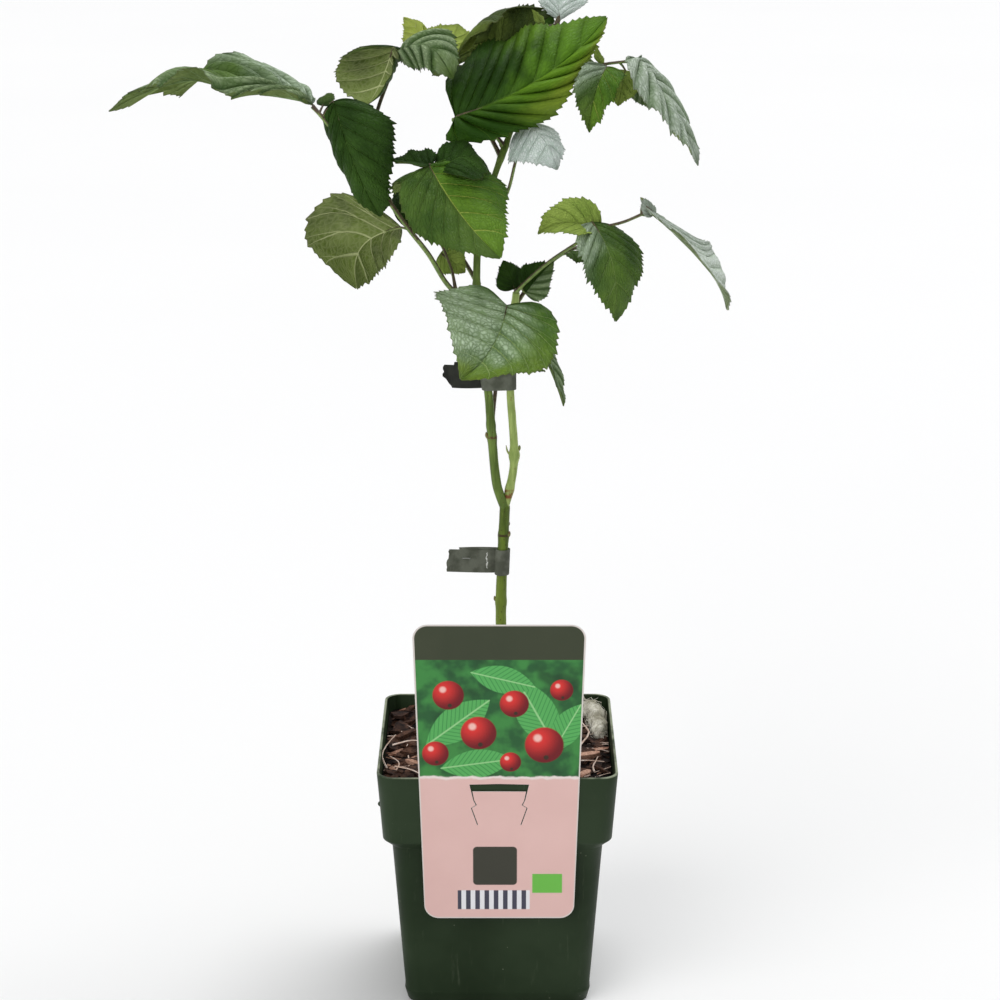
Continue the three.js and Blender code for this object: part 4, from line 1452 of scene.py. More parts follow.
@dataclass(frozen=True)
class BackSpray:
    """Named sizes of a spray at the back. Azimuth is the stalk's heading from +Y towards +X."""

    node: str
    root: Point
    azimuth: float
    reach: float
    rise: float
    size: float
    droop: float
    seed: int
    pair: float
    spread: float
    lateral: float
    sides: tuple[int, ...]
    tones: tuple[Tone, ...]
    radius: float = 1.2
    points: int = 6
    petiolule: float = 3.0

    def _axes(self) -> tuple[Array, Array]:
        """Level directions ahead and to the right of the stalk."""
        sin, cos = math.sin(math.radians(self.azimuth)), math.cos(math.radians(self.azimuth))
        return np.array([sin, cos, 0.0]), np.array([cos, -sin, 0.0])

    def _on_stalk(self, share: float) -> Array:
        """Point of the stalk, which rises and levels off."""
        ahead = self._axes()[0] * self.reach * share
        return np.asarray(self.root, float) + ahead + UP * self.rise * (1 - (1 - share) ** 2)

    def _leaflet(self, draw: Draw, base: Array, turn: float, long: float, hang: float, tone: Tone) -> Leaflet:
        """One leaflet that leaves the stalk.

        Args:
            draw: Source of the small differences.
            base: Where its midrib starts.
            turn: Its heading from the stalk's, in degrees.
            long: Its length.
            hang: How far it hangs, in degrees.
            tone: Its tone.

        Returns:
            The leaflet.
        """
        heading, right = self._axes()
        angle, dip = math.radians(turn), math.radians(hang)
        out = heading * math.cos(angle) + right * math.sin(angle)
        tip = base + out * long * math.cos(dip) - UP * long * math.sin(dip)
        face = UP * math.cos(dip) + out * math.sin(dip) + np.cross(out, UP) * draw(-0.25, 0.25)
        return Leaflet(
            base=tuple(base), tip=tuple(tip), face=tuple(face), tone=tone,
            wide=long * draw(0.7, 0.8), arch=long * draw(0.06, 0.14), sweep=long * draw(-0.05, 0.05),
            fold=draw(8, 22), curl=draw(16, 34), cord=draw(0.03, 0.1), broad=draw(0.36, 0.44),
            lean=draw(-0.08, 0.08))

    def grow(self) -> Spray:
        """The spray's stalk and leaflets, by the same rule and seed as its solid.

        Returns:
            The spray.
        """
        draw = park_miller(self.seed)
        leaves = [self._leaflet(draw, self._on_stalk(1), draw(-8, 8), self.size, self.droop, self.tones[0])]
        for index, hand in enumerate(self.sides):
            base = self._on_stalk(self.pair) + self._axes()[1] * hand * self.petiolule
            turn = hand * (self.spread + draw(-6, 6))
            long = self.size * self.lateral * draw(0.92, 1.08)
            tone = self.tones[(index + 1) % len(self.tones)]
            leaves.append(self._leaflet(draw, base, turn, long, self.droop * draw(0.5, 0.9), tone))
        path = tuple(tuple(self._on_stalk(k / (self.points - 1))) for k in range(self.points))
        return Spray(self.node, (Twig(path, self.radius),), tuple(leaves))


FRONT_SPRAYS = (
    Spray("foliage_front", (
        Twig(((8, 0, 363), (6, -14, 377), (5, -26, 389)), 1.3),
    ), (
        Leaflet((5, -26, 390), (-19, -76, 362), 74, (0.3, -0.6, 0.8), Tone.VEINED, Tone.MISTED,
                arch=-2, sweep=-5, fold=38, curl=15, cord=0.17, broad=0.44, lean=0.08, swell=1.4, ruffle=1.4),
        Leaflet((22, -16, 366), (35, -25, 335), 30, (0.9, -0.1, 0.4), Tone.FROST,
                arch=1, fold=20, curl=10, cord=0.03, origin=(7, -8, 371)),
    )),
    Spray("foliage_centre", (
        Twig(((-8, -1, 435), (-17, -12, 445), (-24, -26, 455), (-32, -37, 466)), 1.2),
    ), (
        Leaflet((-35, -38, 466), (2, -58, 421), 66, (0.4, -0.7, 0.6), Tone.BRIGHT, Tone.MID,
                arch=-2, sweep=2, fold=14, curl=26, cord=0.09, broad=0.37, lean=-0.2),
        Leaflet((-33, -36, 465), (-55, -16, 464.5), 21, (0.2, -0.5, 0.8), Tone.DARK,
                arch=1, sweep=-2, fold=30, curl=6, cord=0.1, broad=0.3),
        Leaflet((-30, -36, 463), (-4, -20, 459), 31, (0.4, -0.4, 0.8), Tone.DARK,
                arch=7, sweep=-3, fold=4, curl=4, cord=0.09, broad=0.45, lean=0.14),
    )),
    Spray("foliage_left", (
        Twig(((-10, 1, 377), (-18, -7, 388), (-27, -12, 399), (-36, -16, 415), (-46, -20, 429),
              (-63, -24, 454), (-81, -24, 477), (-91, -22, 489), (-95, -20, 493)), 1.4),
        Twig(((-63, -24, 454), (-66, -8, 474), (-62, 0, 490), (-57, 6, 503), (-52, 10, 516),
              (-43, 16, 515), (-35, 19, 517), (-26, 24, 514)), 1.1),
        Twig(((-22, -9, 394), (-24, -6, 404), (-29, -4, 417)), 0.9),
    ), (
        Leaflet((-30, -1, 413), (-17, 0, 402), 17, (0, -0.9, 0.4), Tone.GOLDEN,
                arch=2, fold=15, origin=(-27, -5, 412)),
        Leaflet((-50, -20, 430), (-73, -29, 399), 49, (-0.1, 1, -0.2), Tone.OLIVE,
                arch=24, sweep=-10, fold=14, curl=6, cord=0.02, broad=0.48, lean=-0.3, swell=2.2),
        Leaflet((-46, -16, 428), (-27, -4, 447), 40, (0, -0.5, 0.9), Tone.DARK),
        Leaflet((-84, -22, 496), (-61, -17, 435), 46, (-0.2, -1, 0.2), Tone.DARK,
                arch=14, sweep=-1, roll=-18, fold=20, curl=65, cord=0.03, broad=0.33, lean=-0.1),
        Leaflet((-90, -18, 493), (-86, -6, 498), 9, (-0.2, -0.7, 0.7), Tone.MID, arch=1),
        Leaflet((-95, -20, 494), (-198, -38, 493), 46, (0, 0, 1), Tone.FROST, Tone.CREST,
                arch=14, sweep=7, roll=14, twist=-36, fold=-8, curl=-8, cord=0.07, broad=0.41, lean=0.2,
                skew=-0.18, swell=4.6, ruffle=2.4),
        Leaflet((-54, 10, 520), (-67, -13, 493), 56, (0.6, 0.5, -0.6), Tone.OLIVE,
                arch=5, sweep=-4, fold=-10, curl=26, cord=0, broad=0.45, lean=0.05, swell=2.2),
        Leaflet((-51, 10, 517), (-23, -14, 506), 32, (-0.3, -0.6, 0.7), Tone.FROST,
                arch=9, sweep=-6, fold=-8, curl=23, cord=0.08, broad=0.45, lean=-0.16, swell=3.4, ruffle=1.8),
        Leaflet((-36, 18, 518), (-49, 12, 535), 21, (0.3, 0.8, 0.5), Tone.SUNLIT,
                arch=3, fold=0, curl=25, cord=0),
        Leaflet((-27, 31, 512.5), (-21, 48, 527.5), 29, (0, 0.7, -0.7), Tone.GOLDEN,
                arch=0, fold=10, curl=20, cord=0.05, broad=0.48, lean=0.1),
    )),
    Spray("foliage_small", (
        Twig(((-9, -1, 427), (4, -4, 443), (9, -5, 460), (13, -3, 480)), 1),
    ), (
        Leaflet((14, -2, 481), (31, -20, 460), 34, (0.2, -0.7, 0.7), Tone.CHALK,
                arch=4, sweep=-2, fold=0, curl=24, cord=0.03, broad=0.38, lean=0.25, ruffle=1.6),
    )),
    Spray("foliage_top_front", (
        Twig(((4, 5, 468), (-5, 4, 479), (-15, -6, 485), (-23, -13, 485)), 1.2),
    ), (
        Leaflet((-22, -14, 486.5), (58, 26, 534), 64, (0.1, -0.8, 0.6), Tone.TURNING, Tone.FRINGE,
                arch=8, sweep=11, fold=0, curl=26, cord=0.13, broad=0.3, lean=-0.4, skew=-0.18,
                swell=2.8, ruffle=2.0, heart=(14.0, 160.0)),
    )),
    Spray("foliage_top_back", (
        Twig(((12, 18, 487), (-4, 28, 499), (-21, 32, 507)), 1.1),
    ), (
        Leaflet((-23, 32, 507), (25, 36, 537), 50, (-0.4, 0.4, 0.8), Tone.SHADE,
                arch=13, sweep=-5, fold=-8, curl=16, cord=0, broad=0.48, lean=0.24),
        Leaflet((-4, 31, 510), (30, 37, 534), 34, (0.1, -0.9, 0.3), Tone.SHADE, Tone.DARK,
                arch=4, fold=8, curl=10, broad=0.5, origin=(-14, 31, 504)),
    )),
    Spray("foliage_tip", (
        Twig(((31.6, 32.8, 529), (32.4, 34.4, 533)), 1.1),
    ), (
        Leaflet((33, 33, 531), (37, 58, 548), 26, (0, -0.6, 0.8), Tone.CHALK,
                arch=4, sweep=-2, fold=13, curl=16, cord=0, broad=0.45, lean=0.2),
        Leaflet((24, 25, 529), (18, 22, 538), 5, (0.2, -0.9, 0.3), Tone.GOLDEN, arch=1),
    )),
    Spray("foliage_top_right", (
        Twig(((21, 29, 504), (36, 26, 503), (48, 16, 508), (56, 9, 511), (70, 7, 513)), 1),
    ), (
        Leaflet((57, 6, 510), (48, -4, 477), 25, (-0.2, -0.9, 0.3), Tone.BRIGHT, Tone.CREST,
                arch=10, fold=20, curl=9, cord=0.06, broad=0.3, ruffle=2.0),
        Leaflet((54, 5, 512), (52, 2, 521), 7, (-0.6, -0.6, 0.3), Tone.GOLDEN, arch=1),
        Leaflet((67, 8, 508), (63, 2, 490), 19, (0, -0.9, 0.4), Tone.GOLDEN, arch=2),
        Leaflet((72, 6, 514), (105, -7, 460), 33, (0.8, -0.4, 0.5), Tone.SILVER,
                arch=4, sweep=2, fold=22, curl=38, cord=0.19, broad=0.36, lean=-0.15, swell=2.4, ruffle=1.6),
        Leaflet((72, 8, 507), (80, 7, 488), 19, (0.2, -0.8, 0.5), Tone.MID, Tone.FROST,
                arch=2, origin=(71, 8, 511)),
    )),
    Spray("foliage_right", (
        Twig(((10, 0, 391.6), (16, -6, 399), (27, -12, 410), (42, -20, 422), (53, -24, 430),
              (66, -25, 434), (77, -26, 439)), 1.0),
    ), (
        Leaflet((53, -24, 428), (21, -23, 427), 27, (-0.1, -0.8, 0.6), Tone.GOLDEN,
                arch=7, sweep=3, fold=30, curl=-8, cord=0, broad=0.39),
        Leaflet((49, -26, 434), (61, -45, 385), 42, (0.4, -0.8, 0.4), Tone.MID, Tone.CREST,
                arch=13, sweep=1, fold=-8, curl=15, cord=0.12, broad=0.4, lean=-0.25),
        Leaflet((75, -26, 443), (121, -12, 385), 42, (0.7, -0.1, 0.7), Tone.PEARL,
                arch=9, sweep=20, fold=2, curl=-8, cord=0.01, broad=0.56, lean=-0.2, skew=-0.3, swell=1.5),
        Leaflet((80, -27, 437), (74, -26, 447), 8, (0.4, -0.8, 0.3), Tone.PEARL,
                arch=1, fold=20, origin=(77, -26, 439)),
        Leaflet((15, -2, 391), (30, -4, 409), 21, (-0.1, -0.8, 0.5), Tone.DARK, Tone.FROST,
                arch=2, fold=24, origin=(14, -4, 396)),
        Leaflet((9, 5, 392), (3, 8, 407), 17, (0.1, -0.8, 0.5), Tone.DARK,
                arch=2, fold=10, origin=(11, -1, 393)),
    )),
)

BACK_SPRAYS = (
    BackSpray("foliage_back_low", (-3, 0, 318), 8, 48, 32, 52, 24, 11, 0.6, 56, 0.52, (-1, 1),
              (Tone.MID, Tone.DARK)),
    BackSpray("foliage_back_left", (-10, 1, 395), -64, 52, 41, 48, 34, 23, 0.6, 44, 0.58, (-1, 1),
              (Tone.DARK, Tone.MID)),
    BackSpray("foliage_back_mid", (-6, 0, 440), -30, 46, 8, 50, 26, 37, 0.6, 52, 0.6, (-1, 1),
              (Tone.MID, Tone.BRIGHT)),
    BackSpray("foliage_back_right", (9, 1, 383), 55, 46, 28, 42, 26, 41, 0.72, 60, 0.7, (1,),
              (Tone.DARK, Tone.MID)),
    BackSpray("foliage_back_top", (13, 19, 489), 20, 42, 26, 58, 26, 59, 0.6, 60, 0.58, (-1, 1),
              (Tone.MID, Tone.DARK)),
    BackSpray("foliage_back_upper", (2, 3, 463), -44, 74, 49, 50, 20, 67, 0.6, 60, 0.66, (1,),
              (Tone.DARK, Tone.MID)),
)


@dataclass(frozen=True)
class Limb:
    """A stem or cane: its slot, path, radii, steps of its solid, joints, finish and the height of its end."""

    node: str
    slot: str
    path: tuple[Point, ...]
    foot: float
    tip: float
    steps: int
    joints: tuple[float, ...]
    finish: CaneFinish
    flare: float = 0.0
    flare_height: float = 9.0
    cap: float = 0.6
    samples: int = 200

    def radius(self, share: float) -> float:
        """Radius at a share of the length, with the flare at the soil.

        Args:
            share: Share of the length.

        Returns:
            The radius.
        """
        height = share * (self.path[-1][2] - self.path[0][2])
        spread = max(0.0, self.flare - self.foot) * max(0.0, 1 - height / self.flare_height) ** 2
        return self.foot + (self.tip - self.foot) * share + spread

    def at(self, height: float) -> tuple[Array, float]:
        """Axis point and radius at a height.

        Args:
            height: Height above the ground.

        Returns:
            The point and the radius.
        """
        shares = np.linspace(0, 1, self.samples + 1)
        points = SmoothPath(self.path).at(shares)
        index = int(np.abs(points[:, 2] - height).argmin())
        return points[index], self.radius(shares[index])


STEM = Limb(
    "stem", "bark", ((2, 0, 132.3), (2, 0, 166), (2, 0, 219), (3, 0, 248), (4, 0, 271.7)), 3.1, 2.8, 9,
    (178.0, 218.0, 256.0),
    CaneFinish((98, 120, 38), (62, 80, 22), (136, 156, 62), (60, 38, 26), 225.0, 256.6, 0.9), 4.2, cap=3.4)
# The left cane's colours are darker than the right one's, partly as painted shade of its shadowed side.
CANE_LEFT = Limb(
    "cane_left", "cane",
    ((4, 0, 272), (0, -1, 284), (-3, 0, 312), (-5, 1, 337), (-10, 1, 371), (-11, 0, 402), (-9, -1, 428),
     (-3, 0, 449), (4, 5, 468), (12, 18, 487), (22, 30, 506), (32, 33, 530)), 2.6, 1.2, 26,
    (311.6, 318.0, 362.0, 377.0, 395.0, 427.0, 435.0, 440.0, 463.0, 468.0, 487.0, 504.0),
    CaneFinish((112, 136, 62), (78, 98, 40), (84, 104, 42), (88, 52, 36), 270.0, 311.8, 0.9))
CANE_RIGHT = Limb(
    "cane_right", "cane",
    ((4, 0, 272), (6, 1, 279), (9, 2, 297), (8, 2, 321), (7, 2, 336), (8, 2, 370), (10, 0, 391)),
    2.3, 1.9, 14, (282.0, 302.5, 345.0, 363.0, 383.0),
    CaneFinish((174, 192, 114), (134, 156, 82), (134, 152, 78), (124, 54, 38), 250.0, 279.6, 3.2))
LIMBS = (STEM, CANE_LEFT, CANE_RIGHT)


@dataclass
class Foliage:
    """All leaves and leaf stalks."""

    stalk_sides: int = 10
    stalk_step: float = 2.4
    petiolule_radius: float = 0.62
    petiolule_sides: int = 8
    sink: float = 2.5
    reach: float = 0.14
    room: float = 4.0
    root_steps: int = 60
    stalks: Shape = field(default_factory=Shape)

    def _sprays(self) -> list[Spray]:
        """Every spray, with those at the back grown where they have room.

        Returns:
            The sprays, in their order of building.
        """
        taken = [SmoothPath(limb.path).at(np.linspace(0, 1, 2 * limb.steps + 1)) for limb in LIMBS]
        taken += [Blade(form).cloud() for spray in FRONT_SPRAYS for form in spray.leaves]
        sprays = list(FRONT_SPRAYS)
        for grown in (back.grow() for back in BACK_SPRAYS):
            clear = tuple(form for form in grown.leaves if self._has_room(form, np.vstack(taken)))
            taken += [Blade(form).cloud() for form in clear]
            sprays.append(Spray(grown.node, grown.twigs, clear))
        return sprays

    def _has_room(self, form: Leaflet, taken: Array) -> bool:
        """Whether a leaflet stays clear of the limbs and of other sprays."""
        gaps = np.linalg.norm(Blade(form).cloud()[:, None, :] - taken[None, :, :], axis=2)
        return bool(gaps.min() > self.room)

    def _root(self, twigs: Sequence[Twig], target: Array) -> Array:
        """Where a leaflet's own stalk leaves the twigs.

        Args:
            twigs: The spray's stalks.
            target: Where it leads.

        Returns:
            The point just before the spot nearest the target.
        """
        best = (math.inf, SmoothPath(twigs[0].path), 0.0)
        shares = np.arange(self.root_steps + 1) / self.root_steps
        for path in (SmoothPath(twig.path) for twig in twigs):
            gaps = np.linalg.norm(path.at(shares) - target, axis=1)
            nearest = int(gaps.argmin())
            if gaps[nearest] < best[0]:
                best = (float(gaps[nearest]), path, float(shares[nearest]))
        _, path, share = best
        return path.at(max(0.0, share - self.sink / path.length))

    def _tube(self, shape: Shape, points: Rows, foot: float, tip: float, swell: float, sides: int) -> None:
        """Adds a stalk whose upper side has the brown finish.

        Args:
            shape: Shape that gathers the stalks.
            points: Points of its path.
            foot: Radius at its foot.
            tip: Radius at its tip.
            swell: What both ends grow by.
            sides: Points round it.
        """
        path = SmoothPath(points)
        rings = tube_rings(path, max(3, round(path.length / self.stalk_step)), sides, lambda share: (
            foot + (tip - foot) * share + swell * math.exp(-share * path.length / 2.5)
            + 0.5 * swell * math.exp(-(1 - share) * path.length / 2)))
        beside = np.roll(rings, -1, axis=1)
        middles = rings.mean(axis=1)
        spots = (rings[:-1] + beside[:-1] + rings[1:] + beside[1:]) / 4
        above = spots[..., 2] > (middles[:-1, None, 2] + middles[1:, None, 2]) / 2
        shape.loft(rings, above.astype(int).ravel().tolist() + [0, 0])

    def build(self) -> None:
        """Builds and dresses each spray as a piece of leaves and a piece of stalks."""
        stalk_materials = [STALK_GREEN.material(), STALK_BROWN.material()]
        leaf_materials: dict[tuple[Tone, Side], Material] = {}
        for number, spray in enumerate(self._sprays()):
            builder = LeafBuilder()
            leaves, twigs = Shape(), Shape()
            for twig in spray.twigs:
                self._tube(twigs, twig.path, twig.radius, twig.radius * 0.75, 0.5, self.stalk_sides)
            for index, form in enumerate(spray.leaves):
                builder.add(leaves, form, 100 * number + index + 1)
                blade = Blade(form)
                root = self._root(spray.twigs, np.asarray(form.origin or form.base, float))
                into = blade.midrib(np.array([self.reach]))[0][0] - blade.up * 0.3
                self._tube(
                    twigs, (root, blade.start, into), self.petiolule_radius, 0.4, 0.12, self.petiolule_sides)
            for tone, side in builder.finishes:
                if (tone, side) not in leaf_materials:
                    leaf_materials[tone, side] = tone.value.material(tone.name.lower(), side)
            materials = [leaf_materials[key] for key in builder.finishes]
            dress(leaves.build(f"{spray.node}_leaves", materials), "foliage", spray.node)
            dress(twigs.build(f"{spray.node}_stalks", stalk_materials), "foliage", spray.node)
            self.stalks.join(twigs)


@dataclass(frozen=True)
class Bud:
    """A bud beside a cane: height, heading in degrees from +X towards +Y, length, radius and finish."""

    limb: Limb
    height: float
    heading: float
    long: float
    radius: float
    finish: int = 0


@dataclass
class Canes:
    """The stem and both canes, with their joints, buds and specks."""

    sides: int = 20
    step: float = 1.2
    joint_swell: float = 0.42
    joint_long: float = 2.6
    knob: tuple[Limb, float, float] = (CANE_RIGHT, 300.0, 0.75)
    cap_steps: int = 6
    buds: tuple[Bud, ...] = (
        Bud(CANE_RIGHT, 303.0, 10.0, 3.2, 1.0),
        Bud(CANE_RIGHT, 300.0, 182.0, 6.5, 0.5, 1),
        Bud(STEM, 261.0, 30.0, 2.2, 0.8),
        Bud(CANE_LEFT, 311.6, 200.0, 3.6, 1.0),
        Bud(STEM, 256.0, -25.0, 3.2, 1.0),
        Bud(STEM, 218.0, 170.0, 3.0, 0.9),
        Bud(STEM, 178.0, -10.0, 2.8, 0.9),
        Bud(CANE_LEFT, 362.0, 30.0, 3.8, 1.0),
        Bud(CANE_LEFT, 377.0, 150.0, 4.2, 1.1),
        Bud(CANE_RIGHT, 345.0, 100.0, 3.6, 0.9),
        Bud(CANE_RIGHT, 363.0, -60.0, 4.0, 1.0),
        Bud(CANE_RIGHT, 383.0, 80.0, 4.2, 1.0),
        Bud(CANE_LEFT, 435.0, 170.0, 4.0, 0.9),
        Bud(CANE_LEFT, 468.0, 160.0, 3.8, 0.9),
        Bud(CANE_LEFT, 487.0, 120.0, 3.6, 0.8),
    )
    shape: Shape = field(default_factory=Shape)

    def _rings(self, limb: Limb) -> Array:
        """Rings of one limb with joints, ribs, small lumps and a rounded end.

        Args:
            limb: The limb.

        Returns:
            Array of rings of points.
        """
        end = np.array(limb.path[-1], float)
        ahead = unit(end - np.array(limb.path[-2], float))
        path = SmoothPath((*limb.path, end + ahead * limb.cap))
        own = 1 - limb.cap / path.length
        shares = np.linspace(0, own, round(path.length / self.step) + 1 - self.cap_steps)
        rounding = np.sin(np.linspace(0, math.pi / 2, self.cap_steps + 1))[1:]
        places = np.concatenate([shares, own + (1 - own) * rounding])
        heights = path.at(places)[:, 2]
        knob_limb, knob_height, knob_swell = self.knob
        swellings = [(joint, self.joint_swell) for joint in limb.joints]
        if limb is knob_limb:
            swellings.append((knob_height, knob_swell))

        def radius(share: float) -> float:
            """Radius with a swelling at each joint and a rounded end.

            Args:
                share: Share of the whole path.

            Returns:
                The radius.
            """
            height = float(np.interp(share, places, heights))
            past = max(0.0, (share - own) / (1 - own))
            full = limb.radius(min(1.0, share / own))
            full += sum(swell * math.exp(-((height - joint) / self.joint_long) ** 2)
                        for joint, swell in swellings)
            return full * math.sqrt(max(0.01, 1 - past ** 2))

        def relief(share: float, turn: float) -> float:
            """Low ribs that wind slowly, and lumps.

            Args:
                share: Share of the whole path.
                turn: Turn round the limb.

            Returns:
                What the radius grows by.
            """
            spot = Vector((math.cos(turn) * 1.3, math.sin(turn) * 1.3, share * path.length * 0.16))
            height = 0.05 * math.sin(5 * turn + 9 * share) + 0.1 * noise.noise(spot)
            return height * min(1.0, (1 - share) * 200)

        return tube_rings(path, places, self.sides, radius, relief)

    @staticmethod
    def _add_bud(shape: Shape, bud: Bud) -> None:
        """Adds a pointed bud that lies close to its limb.

        Args:
            shape: Shape that gathers the buds.
            bud: The bud.
        """
        centre, radius = bud.limb.at(bud.height)
        heading = math.radians(bud.heading)
        out = np.array([math.cos(heading), math.sin(heading), 0.0])
        foot = centre + out * (radius - 0.5)
        path = SmoothPath((foot, foot + out * 0.3 * bud.long + UP * 0.45 * bud.long,
                           foot + out * 0.42 * bud.long + UP * bud.long))
        shape.loft(tube_rings(path, 8, 8, lambda share: 0.06 + bud.radius * math.sin(math.pi * (
            0.28 + 0.7 * share)) ** 0.8), bud.finish)

    def build(self) -> None:
        """Builds and dresses the limbs, then the buds."""
        for limb in LIMBS:
            one = Shape().loft(self._rings(limb))
            dress(one.build(f"{limb.node}_bark", [limb.finish.material(limb.node)]), limb.slot, limb.node)
            self.shape.join(one)
        buds = Shape()
        for bud in self.buds:
            self._add_bud(buds, bud)
        dress(buds.build("buds", [BUD.material(), STUB.material()]), "cane")


@dataclass
class FineHairs:
    """Short stiff hairs on the stalks and canes."""

    length: float = 0.9
    radius: float = 0.045
    stalk_density: float = 420_000.0
    cane_density: float = 60_000.0

    def _hair(self) -> Object:
        """One tapering hair with three sides.

        Returns:
            The hair.
        """
        ring = [(self.radius * math.cos(turn), self.radius * math.sin(turn), -0.1)
                for turn in (0.0, 2.1, 4.2)]
        corners = np.array([*ring, (0.12, 0.0, self.length)])
        return Shape().body(corners, [(0, 1, 2), (0, 1, 3), (1, 2, 3), (2, 0, 3)]).build("one_hair")

    def build(self, scatter: Scatter, stalks: Shape, canes: Shape) -> None:
        """Strews the hairs over both and dresses them.

        Args:
            scatter: Tree that strews them.
            stalks: All leaf stalks.
            canes: The stem and canes.
        """
        material = HAIR.material()
        for name, slot, shape, density, seed in (
            ("stalk_hairs", "foliage", stalks, self.stalk_density, 7),
            ("cane_hairs", "cane", canes, self.cane_density, 8),
        ):
            surface = shape.build("hair_ground")
            settings = Strewing(density, 0.5, 1.2, (-0.5, -0.5, 0.0), (0.5, 0.5, 6.28), seed, material)
            dress(scatter.bake(name, surface, [self._hair()], settings), slot)
            bpy.data.objects.remove(surface)


def rounded_square(half: float, corner: float, height: float, arc: int, straight: int) -> Array:
    """Ring of points of a square with round corners.

    Args:
        half: Half the side across.
        corner: Radius of the corners.
        height: Height of the ring.
        arc: Steps in each corner.
        straight: Steps in each side.

    Returns:
        Points that run counterclockwise from the foot of the right side.
    """
    reach = half - corner
    bends = [math.pi / 2 * step / arc for step in range(arc)]
    local = [(half, -reach + 2 * reach * step / straight) for step in range(straight)]
    local += [(reach + corner * math.cos(bend), reach + corner * math.sin(bend)) for bend in bends]
    ring = []
    for quarter in range(4):
        cos, sin = math.cos(math.pi / 2 * quarter), math.sin(math.pi / 2 * quarter)
        ring += [(x * cos - y * sin, x * sin + y * cos, height) for x, y in local]
    return np.array(ring)


@dataclass
class Pot:
    """The square nursery pot, with its collar, rounded rim, foot and drain holes."""

    height: float = 140.0
    rim_half: float = 65.0
    collar_foot: float = 101.0
    collar_foot_half: float = 62.2
    body_top: float = 96.0
    body_top_half: float = 57.3
    step_top: float = 7.0
    step_half: float = 51.4
    foot_half: float = 50.0
    wall: float = 1.4
    floor: float = 1.6
    corner: float = 9.0
    hole_radius: float = 4.5
    hole_offset: float = 28.0
    pip_radius: float = 1.6
    pip_height: float = 118.0
    pip_from_corner: float = 16.0
    arc: int = 12
    straight: int = 14
    edge: float = 0.5
    sharp: float = 40.0

    def half_at(self, height: float) -> float:
        """Half width outside at a height of the collar."""
        share = (height - self.collar_foot) / (self.height - self.collar_foot)
        return self.collar_foot_half + (self.rim_half - self.collar_foot_half) * share

    def inside_half(self, height: float) -> float:
        """Half width inside at a height of the collar."""
        return self.half_at(height) - self.wall

    def _rings(self) -> list[Array]:
        """Rings from the underside up the outside, over the rim and down inside.

        Returns:
            The rings.
        """
        edge, wall, step, top, foot = self.edge, self.wall, self.step_top, self.body_top, self.collar_foot
        body = [(step + 1 + (top - step - 1) * share,
                 self.step_half - 0.3 + (self.body_top_half - self.step_half + 0.3) * share)
                for share in (0.25, 0.5, 0.75)]
        outside = [
            (0.0, self.foot_half - 1.2), (0.25, self.foot_half - 0.35), (0.9, self.foot_half),
            (step - edge, self.step_half - 0.1), (step, self.step_half), (step + edge, self.step_half - 0.1),
            (step + 1.2, self.step_half - 0.35), *body, (top - edge, self.body_top_half),
            (top, self.body_top_half + 0.35), (foot - 0.6, self.collar_foot_half - 0.5),
            (foot, self.collar_foot_half - 0.1), (foot + edge, self.collar_foot_half + 0.04),
            *((height, self.half_at(height)) for height in (110.0, 120.0, 130.0)),
            (self.height - edge, self.rim_half), (self.height - 0.12, self.rim_half - 0.15),
            (self.height, self.rim_half - 0.5), (self.height, self.rim_half - wall + 0.45),
            (self.height - 0.12, self.rim_half - wall + 0.15)]
        inside = [
            (self.height - edge, self.rim_half - wall), (120.0, self.inside_half(120.0)),
            (foot + wall, self.collar_foot_half - wall), (top + wall, self.body_top_half - wall),
            (self.floor, self.foot_half - wall)]
        return [rounded_square(half, corner, height, self.arc, self.straight)
                for corner, profile in ((self.corner, outside), (self.corner - wall, inside))
                for height, half in profile]

    def build(self) -> None:
        """Builds the pot with its holes and pip, and dresses it."""
        plastic = PotFinish().material()
        made = Shape().loft(self._rings()).build("pot_shell", [plastic], self.sharp)
        drills = Shape()
        radius, offset = self.hole_radius, self.hole_offset
        for x in (-offset, offset):
            for y in (-offset, offset):
                drills.loft([[(x + radius * math.cos(turn), y + radius * math.sin(turn), height)
                              for turn in circle(32)] for height in (-3.0, 3.0)])
        cutter = drills.build("drills")
        cut = made.modifiers.new("Holes", "BOOLEAN")
        cut.object = cutter
        cut.solver = "EXACT"
        mesh = baked(made)
        made.modifiers.remove(cut)
        made.data = mesh
        bpy.data.objects.remove(cutter)
        mesh.set_sharp_from_angle(angle=math.radians(self.sharp))
        dress(made, "pot", "pot")
        self._pip(plastic)

    def _pip(self, plastic: Material) -> None:
        """The small moulded pip on the left of the collar.

        Args:
            plastic: The pot's material.
        """
        half = self.half_at(self.pip_height)
        centre = np.array([-half, -half + self.pip_from_corner, self.pip_height])
        rings = [[centre + self.pip_radius * np.array([
            math.sin(lift) * math.cos(turn), math.sin(lift) * math.sin(turn), math.cos(lift)])
            for turn in circle(16)] for lift in np.linspace(0.06, math.pi - 0.06, 9)]
        dress(Shape().loft(rings).build("pot_pip", [plastic]), "pot")


